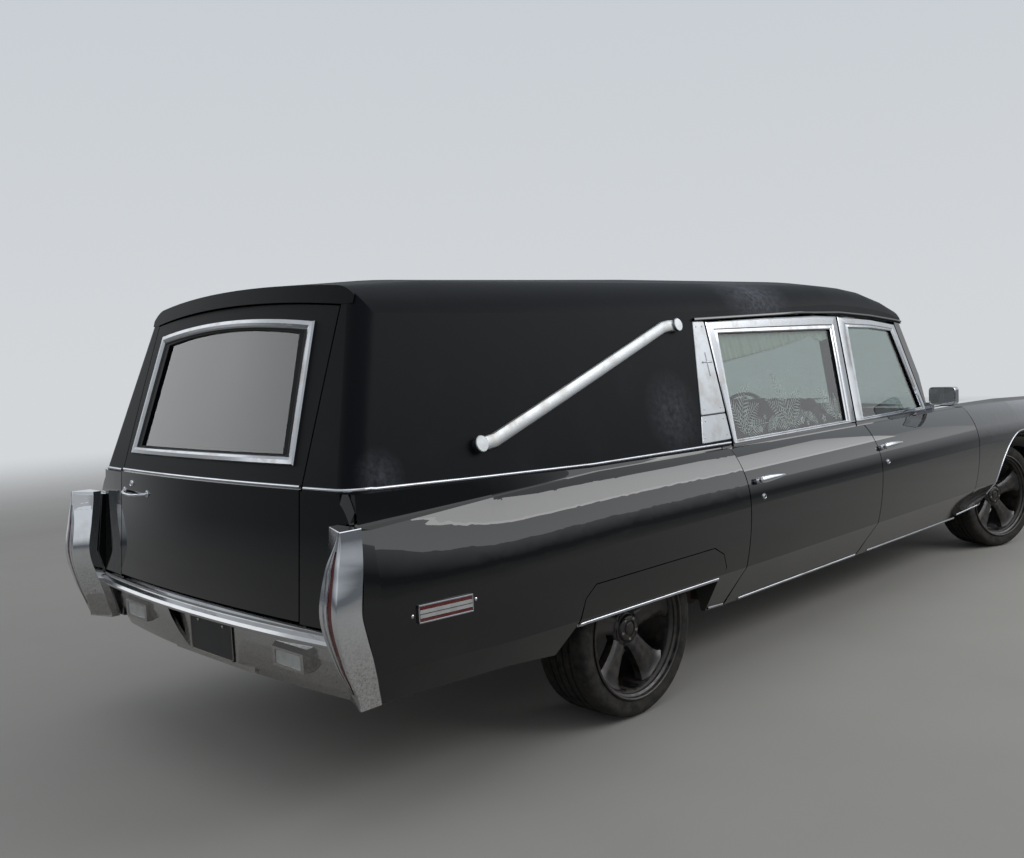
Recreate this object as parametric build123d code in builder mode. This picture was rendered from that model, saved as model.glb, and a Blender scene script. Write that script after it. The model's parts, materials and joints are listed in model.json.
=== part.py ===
from build123d import *
from math import asin, cos, degrees, radians, sin
import os

os.makedirs("parts", exist_ok=True)

# A funeral coach on a long car frame. X runs forward, Y to the left, Z up, all in mm.
# The origin is on the ground, midway between the bumpers and between the sides.

# Axles and wheels
rear_axle_x = -1750
wheelbase = 4000
front_axle_x = rear_axle_x + wheelbase
tyre_radius = 342
tyre_width = 245
rim_radius = 272
axle_z = tyre_radius
rear_track_y = 782
front_track_y = 760
kingpin_y = 672
parked_steer = -16.5
arch_radius = 430
kingpin_radius = 22

# Ends of the car
rear_end_x = -3200
front_end_x = 3200

# Body side
skin_y = 991
door_inner_y = 790
quarter_inner_y = 812
fender_end_inner_y = 838
tunnel_half = 95
tunnel_top = 450
fender_inner_y = 712
sill_z = 282
belt_z = 993

# Shut lines between the panels
panel_gap = 6
frame_gap = 14
front_hinge_x = 1497
rear_hinge_x = 190
hinge_y = 990
front_door_reach = front_hinge_x - rear_hinge_x - panel_gap
rear_door_reach = rear_hinge_x + 1060
quarter_front_x = rear_hinge_x - rear_door_reach - panel_gap
fender_rear_x = front_hinge_x + panel_gap + 1

# Walls of the upper body: planes that lean in towards the roof
wall_rear_x = -3031
wall_front_x = 1250
wall_rear_y = 892
wall_taper = 80 / (wall_front_x - wall_rear_x)
wall_lean = 0.2404
wall_level = 990
back_x = -3100
back_level = 1046
back_lean = 0.317
back_bow = 45
back_corner = 70
roof_thickness = 55
frame_thickness = 28
eave_overhang = 2.5

# Tail door
tail_half = 641
tail_axis_x = -3114
tail_axis_y = -644
tail_reach = 2 * tail_half + 3
tail_sill_z = 641
tail_ledge_z = 1052
tail_face_x = -3105
tail_foot_x = -3137
tail_top_z = 1622
tail_top_rise = 35
visor_depth = 14

# Roof sections: station, height of the eave, half width and height of the
# shoulder, height on the centre line
roof_stations = [
    (-3250, 1577, 622, 1668, 1692),
    (-2960, 1575, 612, 1686, 1714),
    (-2500, 1570, 592, 1712, 1750),
    (-1000, 1562, 566, 1727, 1782),
    (300, 1575, 560, 1733, 1792),
    (600, 1570, 552, 1722, 1783),
    (800, 1560, 548, 1704, 1764),
    (1000, 1542, 551, 1657, 1714),
    (1180, 1515, 560, 1578, 1626),
]

# Side sections: station, belt half width and height, ridge half width and
# height, shoulder height, knee half width and height, foot half width and height
side_stations = [
    (-3045, 884, 1046, 955, 948, 690, 976, 520, 958, 430),
    (-2480, 872, 1024, 912, 970, 715, 972, 490, 922, 392),
    (-1950, 864, 1004, 900, 990, 730, 966, 480, 880, 330),
    (quarter_front_x, 848, belt_z, 896, 986, 735, 958, 470, 822, sill_z),
]
door_section = (846, belt_z, 894, 982, 740, 958, 470, 822, sill_z)
fender_stations = [
    (fender_rear_x, 838, belt_z + 6, 890, 984, 745, 960, 480, 830, 300),
    (2250, 800, 985, 880, 966, 730, 966, 480, 880, 352),
    (3080, 770, 952, 850, 936, 705, 940, 520, 905, 430),
]


def wall_half(x, z):
    return wall_rear_y - wall_taper * (x - wall_rear_x) - wall_lean * (z - wall_level)


def back_centre(z):
    return back_x + back_lean * (z - back_level)


def walls(inset):
    """Block inside the leaning side walls and bowed back of the upper body."""
    with BuildPart() as block:
        for z in (900, 1830):
            back = back_centre(z) + inset
            front = wall_front_x + 200
            corner = back + back_bow
            rear_y = wall_half(corner, z) - inset
            front_y = wall_half(front, z) - inset
            with BuildSketch(Plane.XY.offset(z)):
                with BuildLine():
                    ThreePointArc((corner, -rear_y), (back, 0), (corner, rear_y))
                    Polyline((corner, rear_y), (front, front_y), (front, -front_y), (corner, -rear_y))
                make_face()
                corners = [v for v in vertices() if v.X < 0]
                fillet(corners, back_corner - inset / 2)
        loft(ruled=True)
    return block.part


def crown(inset):
    """Block under the roof's curved top, wider than the walls below its eaves."""
    with BuildPart() as block:
        for x, eave_z, shoulder_y, shoulder_z, top_z in roof_stations:
            eave_z = eave_z - inset / 2
            eave = wall_half(x, eave_z) - inset + eave_overhang
            spread = eave + 0.5 * (eave_z - 880)
            side_y = shoulder_y - 0.6 * inset
            side_z = shoulder_z - 0.8 * inset
            with BuildSketch(Plane.YZ.offset(x)):
                with BuildLine():
                    Line((-spread, 880), (-eave, eave_z))
                    SagittaArc((-eave, eave_z), (-side_y, side_z), 28)
                    ThreePointArc((-side_y, side_z), (0, top_z - inset), (side_y, side_z))
                    SagittaArc((side_y, side_z), (eave, eave_z), 28)
                    Line((eave, eave_z), (spread, 880))
                    Line((spread, 880), (-spread, 880))
                make_face()
        loft(ruled=True)
    return block.part


def side_section(x, inner_y, belt_y, top_z, ridge_y, ridge_z, wide_z, knee_y, knee_z, foot_y, foot_z):
    """Cross section of a body side, from the belt over the ridge to the tucked foot."""
    ledge_z = min(top_z - 4, ridge_z - 2)
    with BuildSketch(Plane.YZ.offset(x)) as section:
        with BuildLine():
            Line((inner_y, top_z), (belt_y, top_z))
            Line((belt_y, top_z), (belt_y + 5, ledge_z))
            Line((belt_y + 5, ledge_z), (ridge_y, ridge_z))
            TangentArc((skin_y, wide_z), (ridge_y, ridge_z), tangent=(0, 1))
            TangentArc((skin_y, wide_z), (knee_y, knee_z), tangent=(0, -1))
            Line((knee_y, knee_z), (foot_y, foot_z))
            Line((foot_y, foot_z), (inner_y, foot_z))
            Line((inner_y, foot_z), (inner_y, top_z))
        make_face()
    return section.sketch


def hinge_cylinder(x, y, radius):
    """Tall round block about an upright hinge line."""
    with BuildPart() as block:
        with BuildSketch(Plane.XY.offset(100)):
            with Locations((x, y)):
                Circle(radius)
        extrude(amount=1800)
    return block.part


def side_prism(points, low_y=-1200, high_y=1200):
    """Block with the given outline in side view."""
    with BuildPart() as block:
        with BuildSketch(Plane.XZ.offset(-high_y)):
            with BuildLine():
                Polyline(*points, close=True)
            make_face()
        extrude(amount=high_y - low_y)
    return block.part


def mirrored(part):
    return mirror(part, about=Plane.XZ)


def save(builder, name):
    builder.part.label = name
    export_step(builder.part, f"parts/{name}.step")


def plate(low, high):
    """Rectangular block between two corners."""
    size = [high[i] - low[i] for i in range(3)]
    middle = [(high[i] + low[i]) / 2 for i in range(3)]
    with BuildPart() as block:
        with Locations(tuple(middle)):
            Box(*size)
    return block.part


def tail_block(low_z, thickness):
    """Bowed lower wall of the tail, leaning out towards its foot, up to the ledge below the window."""
    slope = (tail_face_x - tail_foot_x) / (tail_ledge_z - tail_sill_z)
    with BuildPart() as block:
        for z in (low_z, tail_ledge_z):
            face = tail_face_x + slope * (z - tail_ledge_z)
            front = back_x + thickness
            with BuildSketch(Plane.XY.offset(z)):
                with BuildLine():
                    ThreePointArc((face + back_bow, -880), (face, 0), (face + back_bow, 880))
                    Polyline((face + back_bow, 880), (front, 880), (front, -880), (face + back_bow, -880))
                make_face()
        loft(ruled=True)
    return block.part


def both_sides(builder_part):
    """Left piece with its mirror image, as two solids that don't touch."""
    with BuildPart() as pair:
        add(builder_part)
        add(mirrored(builder_part))
    return pair.part


walls_outer = walls(0)
walls_frame = walls(frame_thickness)
walls_inner = walls(roof_thickness)
walls_glass_out = walls(9)
walls_glass_in = walls(16)
crown_outer = crown(0)
crown_inner = crown(roof_thickness)

# Belt line as seen from the side, from the tail to the rear door
c_post_x = -970
roof_rear_post_x = c_post_x - frame_gap
belt_line = [(-3400, 1056)] + [(s[0], s[2]) for s in side_stations] + [(roof_rear_post_x, belt_z)]

# The tail door's swing, as a round block about its hinge line
tail_opening = hinge_cylinder(tail_axis_x, tail_axis_y, tail_reach + panel_gap)
tail_swing = hinge_cylinder(tail_axis_x, tail_axis_y, tail_reach)


def tail_outline(gap):
    """Block with the tail door's outline seen from behind, arched along its top."""
    low_y = -tail_half - gap
    top_z = tail_top_z + gap
    with BuildPart() as block:
        with BuildSketch(Plane.YZ.offset(-3400)):
            with BuildLine():
                ThreePointArc((low_y, top_z), (0, top_z + tail_top_rise), (-low_y, top_z))
                Polyline((-low_y, top_z), (720, top_z), (720, tail_sill_z - gap), (low_y, tail_sill_z - gap),
                         (low_y, top_z))
            make_face()
        extrude(amount=700)
    return block.part



with BuildPart() as roof_hollow:
    add(walls_inner)
    add(crown_inner, mode=Mode.INTERSECT)

with BuildPart() as tail_hole:
    add(tail_outline(panel_gap))
    add(tail_opening, mode=Mode.INTERSECT)

# Lip of the roof that overhangs the tail door, deepest in the middle
with BuildPart() as visor:
    for z in (1600, 1760):
        back = back_centre(z)
        side = back + 0.91 * back_bow
        with BuildSketch(Plane.XY.offset(z)):
            with BuildLine():
                ThreePointArc((side, -700), (back - visor_depth, 0), (side, 700))
                Polyline((side, 700), (side + 60, 600), (side + 60, -600), (side, -700))
            make_face()
    loft(ruled=True)
    add(crown_outer, mode=Mode.INTERSECT)
    add(plate((-3400, -720, 1500), (-2700, 720, tail_top_z + panel_gap)), mode=Mode.SUBTRACT)
    add(tail_hole.part, mode=Mode.SUBTRACT)

# Roof and landau sides, one shell from the windscreen to the tail
with BuildPart() as roof_shell:
    add(walls_outer)
    add(crown_outer, mode=Mode.INTERSECT)
    add(roof_hollow.part, mode=Mode.SUBTRACT)
    with BuildSketch(Plane.XZ.offset(-1300)):
        with BuildLine():
            Polyline(*belt_line, (roof_rear_post_x, 1550))
            ThreePointArc((roof_rear_post_x, 1550), (60, 1574), (1110, 1508))
            Polyline((1110, 1508), (1400, 1500), (1400, 800), (-3400, 800), belt_line[0])
        make_face()
    extrude(amount=2600, mode=Mode.SUBTRACT)
    with BuildSketch(Plane.XY.offset(800)):
        with BuildLine():
            ThreePointArc((1080, -900), (1165, 0), (1080, 900))
            Polyline((1080, 900), (1500, 900), (1500, -900), (1080, -900))
        make_face()
    extrude(amount=1200, mode=Mode.SUBTRACT)
    add(tail_hole.part, mode=Mode.SUBTRACT)
    add(visor.part)
save(roof_shell, "roof_shell")

# Rear quarter: lofted wall with a blade-like fender end, arch and wheelhouse cut
with BuildPart() as quarter_blank:
    for station in side_stations:
        add(side_section(station[0], quarter_inner_y, *station[1:]))
    loft(ruled=True)
    end_station = side_stations[0]
    end_section = (end_station[1], end_station[4] - 3) + end_station[3:]
    add(side_section(-3125, fender_end_inner_y, 884, 953, 963, 957, 708, 978, 530, 958, 428))
    add(side_section(end_station[0], fender_end_inner_y, *end_section))
    loft(ruled=True)

skirt_outline = [(-2176, 456), (-2146, 560), (-2090, 604), (-1335, 604), (-1262, 566), (-1226, 500), (-1262, 446)]
skirt_face = [(-2176, 420), (-2142, 558), (-2088, 600), (-1337, 600), (-1265, 563), (-1231, 499), (-1262, 420)]
fender_end_cut = [(-3160, 400), (-3046, 400), (-3046, 428), (-3119, 708), (-3084, 957), (-3084, 1000),
                  (-3160, 1000)]
with BuildPart() as quarter_left:
    add(quarter_blank.part)
    add(side_prism(skirt_outline), mode=Mode.SUBTRACT)
    add(side_prism([(-2176, 457), (-2250, 340), (-2250, 200), (-1205, 200), (-1205, 290), (-1262, 447)]),
        mode=Mode.SUBTRACT)
    add(side_prism(fender_end_cut), mode=Mode.SUBTRACT)
    with BuildSketch(Plane.XZ.offset(-700)):
        with Locations((rear_axle_x, axle_z)):
            Circle(402)
    extrude(amount=-230, mode=Mode.SUBTRACT)
with BuildPart() as quarter_panels:
    add(both_sides(quarter_left.part))
save(quarter_panels, "quarter_panels")

with BuildPart() as skirt_groove:
    add(side_prism(skirt_outline, 950, 1200))
    add(side_prism(skirt_face, 945, 1205), mode=Mode.SUBTRACT)
with BuildPart() as skirt_left:
    add(quarter_blank.part)
    add(side_prism(skirt_outline, 930, 1200), mode=Mode.INTERSECT)
    add(skirt_groove.part, mode=Mode.SUBTRACT)
with BuildPart() as wheel_skirts:
    add(both_sides(skirt_left.part))
save(wheel_skirts, "wheel_skirts")

# Tail frame: corner posts beside the tail door and the sill below it
tail_side_y = fender_end_inner_y - 2
with BuildPart() as tail_spread:
    add(plate((-3400, -880, 959), (-3046, 880, 1048)))
    add(walls_outer, mode=Mode.INTERSECT)
    add(plate((-3400, -tail_side_y, 540), (-3046, tail_side_y, 1048)))
    add(plate((-3400, -quarter_inner_y, 540), (-2900, quarter_inner_y, 1048)))
with BuildPart() as tail_frame:
    add(tail_block(540, 140))
    add(tail_spread.part, mode=Mode.INTERSECT)
    add(plate((-3400, -900, 500), (-3040, 900, tail_sill_z - panel_gap)), mode=Mode.SUBTRACT)
    add(plate((-3010, -700, tail_sill_z), (-2900, 700, 1100)), mode=Mode.SUBTRACT)
    add(tail_hole.part, mode=Mode.SUBTRACT)
    add(roof_shell.part, mode=Mode.SUBTRACT)
save(tail_frame, "tail_frame")

# Tail door: upright lower panel, leaning upper frame round its window
with BuildPart() as tail_window_hole:
    with BuildSketch(Plane.YZ.offset(-3300)):
        with BuildLine():
            ThreePointArc((-464, 1544), (0, 1575), (464, 1544))
            Polyline((464, 1544), (512, 1156), (-512, 1156), (-464, 1544))
        make_face()
    extrude(amount=600)
with BuildPart() as tail_upper:
    add(walls_outer)
    add(walls_inner, mode=Mode.SUBTRACT)
    add(tail_outline(0), mode=Mode.INTERSECT)
    add(plate((-3400, -720, 500), (-2700, 720, back_level - 6)), mode=Mode.SUBTRACT)
with BuildPart() as tail_door:
    add(tail_block(tail_sill_z, 95))
    add(tail_outline(0), mode=Mode.INTERSECT)
    add(tail_upper.part)
    add(tail_swing, mode=Mode.INTERSECT)
    add(tail_window_hole.part, mode=Mode.SUBTRACT)
save(tail_door, "tail_door")

with BuildPart() as tail_glass:
    add(walls_glass_out)
    add(walls_glass_in, mode=Mode.SUBTRACT)
    add(tail_window_hole.part, mode=Mode.INTERSECT)
save(tail_glass, "tail_glass")

# Side doors: lower shells with the tucked section, thin upper frames, glass
front_swing = hinge_cylinder(front_hinge_x, hinge_y, front_door_reach)
rear_swing = hinge_cylinder(rear_hinge_x, hinge_y, rear_door_reach)
rear_frame_outline = [(c_post_x, 984), (c_post_x, 1540), (60, 1562), (298, 1556), (221, 1000),
                      (186, 1000), (186, 984)]
rear_window = [(-941, 1004), (-886, 1488), (200, 1488), (125, 1004)]
front_frame_outline = [(235, 984), (312, 1556), (700, 1536), (1000, 1504), (1150, 984)]
front_window = [(327, 1004), (414, 1494), (700, 1486), (943, 1466), (1085, 1004)]

with BuildPart() as rear_frame:
    add(walls_outer)
    add(walls_frame, mode=Mode.SUBTRACT)
    add(side_prism(rear_frame_outline, 500, 1200), mode=Mode.INTERSECT)
    add(side_prism(rear_window, 500, 1200), mode=Mode.SUBTRACT)
with BuildPart() as door_rear_left:
    add(side_section(-1100, door_inner_y, *door_section))
    extrude(amount=rear_hinge_x + 1100, dir=(1, 0, 0))
    add(rear_swing, mode=Mode.INTERSECT)
    add(rear_frame.part)
save(door_rear_left, "door_rear_left")
with BuildPart() as door_rear_right:
    add(mirrored(door_rear_left.part))
save(door_rear_right, "door_rear_right")

with BuildPart() as front_frame:
    add(walls_outer)
    add(walls_frame, mode=Mode.SUBTRACT)
    add(side_prism(front_frame_outline, 500, 1200), mode=Mode.INTERSECT)
    add(side_prism(front_window, 500, 1200), mode=Mode.SUBTRACT)
with BuildPart() as door_front_left:
    add(side_section(100, door_inner_y, *door_section))
    extrude(amount=front_hinge_x - 100, dir=(1, 0, 0))
    add(front_swing, mode=Mode.INTERSECT)
    add(front_frame.part)
save(door_front_left, "door_front_left")
with BuildPart() as door_front_right:
    add(mirrored(door_front_left.part))
save(door_front_right, "door_front_right")

for window, name in ((rear_window, "glass_rear"), (front_window, "glass_front")):
    with BuildPart() as glass_left:
        add(walls_glass_out)
        add(walls_glass_in, mode=Mode.SUBTRACT)
        add(side_prism(window, 500, 1200), mode=Mode.INTERSECT)
    save(glass_left, name + "_left")
    with BuildPart() as glass_right:
        add(mirrored(glass_left.part))
    save(glass_right, name + "_right")

# Mirrors on the front doors
with BuildPart() as mirror_left:
    with Locations((1062, 958, 1078)):
        Box(46, 150, 104)
    fillet(edges().filter_by(Axis.X), 20)
    with Locations((1070, 872, 1010)):
        Box(30, 40, 60)
    add(door_front_left.part, mode=Mode.SUBTRACT)
save(mirror_left, "mirror_left")
with BuildPart() as mirror_right:
    add(mirrored(mirror_left.part))
save(mirror_right, "mirror_right")

# Cowl: top panel, bulkhead, hinge pillars and windscreen pillars
walls_pillar = walls(50)
with BuildPart() as pillar_left:
    add(walls_outer)
    add(walls_pillar, mode=Mode.SUBTRACT)
    add(crown_outer, mode=Mode.INTERSECT)
    add(side_prism([(1166, 994), (1024, 1500), (1024, 1700), (1090, 1700), (1090, 1500), (1240, 994)], 500, 1200),
        mode=Mode.INTERSECT)
    add(roof_shell.part, mode=Mode.SUBTRACT)
    add(plate((1100, 785, 900), (1300, 900, 1001)), mode=Mode.SUBTRACT)
with BuildPart() as cowl:
    with BuildSketch(Plane.XY.offset(955)):
        with BuildLine():
            ThreePointArc((1150, -784), (1290, 0), (1150, 784))
            Polyline((1150, 784), (1490, 784), (1490, 712), (1464, 712), (1464, -712),
                     (1490, -712), (1490, -784), (1150, -784))
        make_face()
    extrude(amount=41)
    add(plate((1430, -712, 324), (1464, 712, 970)))
    add(plate((1400, -tunnel_half, 300), (1500, tunnel_half, tunnel_top)), mode=Mode.SUBTRACT)
    add(plate((1400, 712, 284), (1490, 784, 970)))
    add(plate((1400, -784, 284), (1490, -712, 970)))
    add(pillar_left.part)
    add(mirrored(pillar_left.part))
save(cowl, "cowl")

# Windscreen, curved in plan and leaning back
with BuildPart() as screen_blank:
    for z, edge_x, middle_x, half in ((975, 1208, 1398, 780), (1640, 1060, 1148, 640)):
        with BuildSketch(Plane.XY.offset(z)):
            with BuildLine():
                ThreePointArc((edge_x, -half), (middle_x, 0), (edge_x, half))
                Line((edge_x, half), (edge_x + 9, half))
                ThreePointArc((edge_x + 9, half), (middle_x + 9, 0), (edge_x + 9, -half))
                Line((edge_x + 9, -half), (edge_x, -half))
            make_face()
    loft(ruled=True)
    add(walls_outer, mode=Mode.INTERSECT)
    add(roof_shell.part, mode=Mode.SUBTRACT)
    add(cowl.part, mode=Mode.SUBTRACT)
    add(plate((900, -900, 1600), (1500, 900, 1700)), mode=Mode.SUBTRACT)
    add(plate((900, -900, 900), (1500, 900, 990)), mode=Mode.SUBTRACT)
with BuildPart() as windscreen:
    add(screen_blank.part.solids().sort_by(SortBy.VOLUME)[-1])
save(windscreen, "windscreen")

# Centre posts behind the door frames
walls_post_out = walls(64)
walls_post_in = walls(104)
with BuildPart() as post_left:
    add(walls_post_out)
    add(walls_post_in, mode=Mode.SUBTRACT)
    add(crown_inner, mode=Mode.INTERSECT)
    add(side_prism([(180, 960), (262, 1500), (262, 1790), (342, 1790), (342, 1500), (260, 960)], 500, 1200),
        mode=Mode.INTERSECT)
    add(plate((180, 700, 340), (260, 784, 970)))
with BuildPart() as centre_posts:
    add(both_sides(post_left.part))
save(centre_posts, "centre_posts")

# Floor: bent pan from the toe board over the axle to the tail, with box sills
floor_outline = [(1430, 480), (1250, 344), (-1000, 344), (-1150, 598), (-2960, 598), (-2960, 578),
                 (-1165, 578), (-1012, 324), (1258, 324), (1430, 452)]
with BuildPart() as floor_pan:
    add(side_prism(floor_outline, -640, 640))
    add(plate((-1300, -tunnel_half, 300), (1430, tunnel_half, tunnel_top)), mode=Mode.SUBTRACT)
    add(plate((-1180, -tunnel_half - 15, 344), (1430, -tunnel_half, tunnel_top + 15)))
    add(plate((-1180, tunnel_half, 344), (1430, tunnel_half + 15, tunnel_top + 15)))
    add(plate((-1180, -tunnel_half, tunnel_top), (1430, tunnel_half, tunnel_top + 15)))
    for side in (-1, 1):
        low, high = sorted((side * 640, side * 784))
        add(plate((-1040, low, 284), (1400, high, 344)))
        low, high = sorted((side * 640, side * quarter_inner_y))
        add(plate((-2960, low, 760), (-1085, high, 778)))
        low, high = sorted((side * 620, side * 640))
        add(plate((-2960, low, 578), (-1085, high, 778)))
    add(centre_posts.part, mode=Mode.SUBTRACT)
save(floor_pan, "floor_pan")

# Front fenders, lofted, with the round wheel arch cut through
with BuildPart() as fender_left:
    for station in fender_stations:
        add(side_section(station[0], fender_inner_y, *station[1:]))
    loft(ruled=True)
    with BuildSketch(Plane.XZ.offset(-600)):
        with Locations((front_axle_x, axle_z)):
            Circle(arch_radius)
    extrude(amount=-500, mode=Mode.SUBTRACT)
with BuildPart() as front_fenders:
    add(both_sides(fender_left.part))
save(front_fenders, "front_fenders")

# Hood, crowned, hinged at the cowl
with BuildPart() as hood:
    for x, half, edge_z, rise in ((1471, 704, 986, 26), (2300, 704, 966, 34), (3076, 704, 936, 22)):
        with BuildSketch(Plane.YZ.offset(x)):
            with BuildLine():
                ThreePointArc((-half, edge_z), (0, edge_z + rise), (half, edge_z))
                Polyline((half, edge_z), (half, edge_z - 30))
                ThreePointArc((half, edge_z - 30), (0, edge_z + rise - 30), (-half, edge_z - 30))
                Polyline((-half, edge_z - 30), (-half, edge_z))
            make_face()
    loft(ruled=True)
save(hood, "hood")

# Front panel with lamp and grille openings
with BuildPart() as front_panel:
    add(plate((3086, -850, 586), (3126, 850, 905)))
    add(plate((3086, -704, 890), (3126, 704, 925)))
    with Locations((3106, 0, 742)):
        Box(60, 860, 250, mode=Mode.SUBTRACT)
    with BuildSketch(Plane.YZ.offset(3080)):
        with Locations(*[(side * y, 750) for side in (-1, 1) for y in (548, 738)]):
            Circle(86)
    extrude(amount=60, mode=Mode.SUBTRACT)
    add(plate((3080, 712, 586), (3086, 850, 900)))
    add(plate((3080, -850, 586), (3086, -712, 900)))
save(front_panel, "front_panel")

with BuildPart() as headlamps:
    with BuildSketch(Plane.YZ.offset(3086)):
        with Locations(*[(side * y, 750) for side in (-1, 1) for y in (548, 738)]):
            Circle(86)
    extrude(amount=36)
save(headlamps, "headlamps")

with BuildPart() as grille:
    with Locations((3104, 0, 742)):
        Box(30, 860, 250)
        Box(30, 830, 220, mode=Mode.SUBTRACT)
    for row in range(5):
        add(plate((3096, -415, 632 + 37 * row), (3112, 415, 640 + 37 * row)))
    for column in range(15):
        y = -392 + 56 * column
        add(plate((3092, y - 3, 632), (3116, y + 3, 852)))
save(grille, "grille")

with BuildPart() as bumper_front:
    with BuildSketch(Plane.XY.offset(430)):
        with BuildLine():
            ThreePointArc((3112, -965), (front_end_x, 0), (3112, 965))
            Polyline((3112, 965), (3086, 970), (3086, 945))
            ThreePointArc((3086, 945), (front_end_x - 24, 0), (3086, -945))
            Polyline((3086, -945), (3086, -970), (3112, -965))
        make_face()
    extrude(amount=150)
    for side in (-1, 1):
        low, high = sorted((side * 370, side * 440))
        add(plate((2990, low, 440), (3165, high, 500)))
save(bumper_front, "bumper_front")

# Rear bumper: bowed bar with a stepped top edge over a hollow face, and two upright end caps
bar_turn_x = 3572
bar_half = 875
bar_section = [(-3128, 634), (-3150, 623), (-3151, 615), (-3157, 614), (-3172, 607), (-3180, 598), (-3179, 590),
               (-3168, 584), (-3108, 574), (-3106, 520), (-3097, 470), (-3082, 425), (-3066, 392), (-3054, 392),
               (-3070, 430), (-3085, 480), (-3094, 530), (-3094, 622), (-3116, 634)]
bar_turn = asin(bar_half / (bar_turn_x - bar_section[0][0]))
bar_end_plane = Plane(origin=(bar_turn_x, 0, 0), x_dir=(-cos(bar_turn), -sin(bar_turn), 0),
                      z_dir=(-sin(bar_turn), cos(bar_turn), 0))

# End caps: height, rear face, its outer and inner edges, front face, half width there
cap_stations = [
    (428, -3122, 960, 950, -3048, 958),
    (570, -3170, 971, 912, -3085, 983),
    (712, -3200, 979, 894, -3121, 990),
    (850, -3180, 971, 908, -3101, 981),
    (957, -3162, 965, 958, -3086, 963),
]
cap_inner_y = 850
lens_heights = (480, 570, 712, 850, 905)


def cap_at(z):
    """Measures of the end cap at a height between two stations."""
    low = max((row for row in cap_stations if row[0] <= z), key=lambda row: row[0])
    high = min((row for row in cap_stations if row[0] > z), key=lambda row: row[0])
    share = (z - low[0]) / (high[0] - low[0])
    return [a + share * (b - a) for a, b in zip(low, high)]


def cap_strip(middle, half, start, depth):
    """Upright strip in a cap's rear face, placed by shares of the face's width from its outer edge."""
    with BuildPart() as strip:
        for z in lens_heights:
            _, rear_x, outer, inner, _, _ = cap_at(z)
            low = outer - (middle + half) * (outer - inner)
            high = outer - (middle - half) * (outer - inner)
            with BuildSketch(Plane.XY.offset(z)):
                with BuildLine():
                    Polyline((rear_x + start, low), (rear_x + depth, low), (rear_x + depth, high),
                             (rear_x + start, high), close=True)
                make_face()
        loft(ruled=True)
    return strip.part


with BuildPart() as cap_left:
    for z, rear_x, outer, inner, front_x, skin in cap_stations:
        with BuildSketch(Plane.XY.offset(z)):
            with BuildLine():
                Polyline((rear_x, outer), (rear_x, inner), (front_x - 32, cap_inner_y), (front_x, cap_inner_y),
                         (front_x, skin), close=True)
            make_face()
    loft(ruled=True)
    add(cap_strip(0.42, 0.12, -6, 14), mode=Mode.SUBTRACT)
    add(cap_strip(0.74, 0.05, -6, 6), mode=Mode.SUBTRACT)

# Number plate's recess, wider at its top, with the flat back that holds the plate's two screws
plate_back_x = -3074
plate_screw_y = 89
plate_screw_z = 530
with BuildPart() as plate_recess:
    with BuildSketch(Plane.YZ.offset(-3300)):
        with BuildLine():
            Polyline((-290, 564), (290, 564), (150, 380), (-150, 380), close=True)
        make_face()
    extrude(amount=3300 + plate_back_x)

with BuildPart() as lamp_housing:
    add(plate((-3106, 460, 470), (-3056, 640, 548)))
    chamfer(edges().filter_by(Axis.Y).group_by(Axis.X)[0].sort_by(Axis.Z)[-1], 14)
    add(plate((-3120, 476, 480), (-3098, 624, 526)), mode=Mode.SUBTRACT)

with BuildPart() as bumper_rear:
    with BuildSketch(bar_end_plane):
        with BuildLine():
            Polyline(*[(bar_turn_x - x, z) for x, z in bar_section], close=True)
        make_face()
    revolve(axis=Axis((bar_turn_x, 0, 0), (0, 0, -1)), revolution_arc=2 * degrees(bar_turn))
    for low_y, high_y in ((-1000, 2 - fender_end_inner_y), (fender_end_inner_y - 2, 1000)):
        add(side_prism([(-3048, 380), (-3048, 428), (-3121, 708), (-2900, 708), (-2900, 380)], low_y, high_y),
            mode=Mode.SUBTRACT)
    for low_y, high_y in ((-1000, 2 - quarter_inner_y), (quarter_inner_y - 2, 1000)):
        add(plate((-3047, low_y, 380), (-2900, high_y, 708)), mode=Mode.SUBTRACT)
    add(plate_recess.part, mode=Mode.SUBTRACT)
    add(plate((plate_back_x, -285, 396), (plate_back_x + 12, 285, 576)))
    add(both_sides(cap_left.part))
    add(both_sides(lamp_housing.part))
    for side in (-1, 1):
        low, high = sorted((side * 480, side * 540))
        add(plate((-3060, low, 430), (-2990, high, 480)))
    with BuildSketch(Plane.YZ.offset(-3100)):
        with Locations((-plate_screw_y, plate_screw_z), (plate_screw_y, plate_screw_z)):
            Circle(3.5)
    extrude(amount=60, mode=Mode.SUBTRACT)
save(bumper_rear, "bumper_rear")

with BuildPart() as tail_lamps:
    add(both_sides(cap_strip(0.42, 0.12, 2, 14)))
save(tail_lamps, "tail_lamps")

with BuildPart() as reverse_lamps:
    add(both_sides(plate((-3103, 476, 480), (-3098, 624, 526))))
save(reverse_lamps, "reverse_lamps")

with BuildPart() as marker_left:
    add(quarter_blank.part)
    add(side_prism([(-2916, 698), (-2702, 690), (-2702, 642), (-2916, 650)], 900, 1200), mode=Mode.INTERSECT)
with BuildPart() as marker_lamps:
    add(both_sides(Pos(0, 7, 0) * marker_left.part))
    add(quarter_panels.part, mode=Mode.SUBTRACT)
save(marker_lamps, "marker_lamps")

# Landau bars: flat bars with round ends, standing just off the wall
bar_low = (-2505, 1141)
bar_high = (-1212, 1526)


def wall_point(x, z):
    return Vector(x, wall_half(x, z), z)


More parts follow.
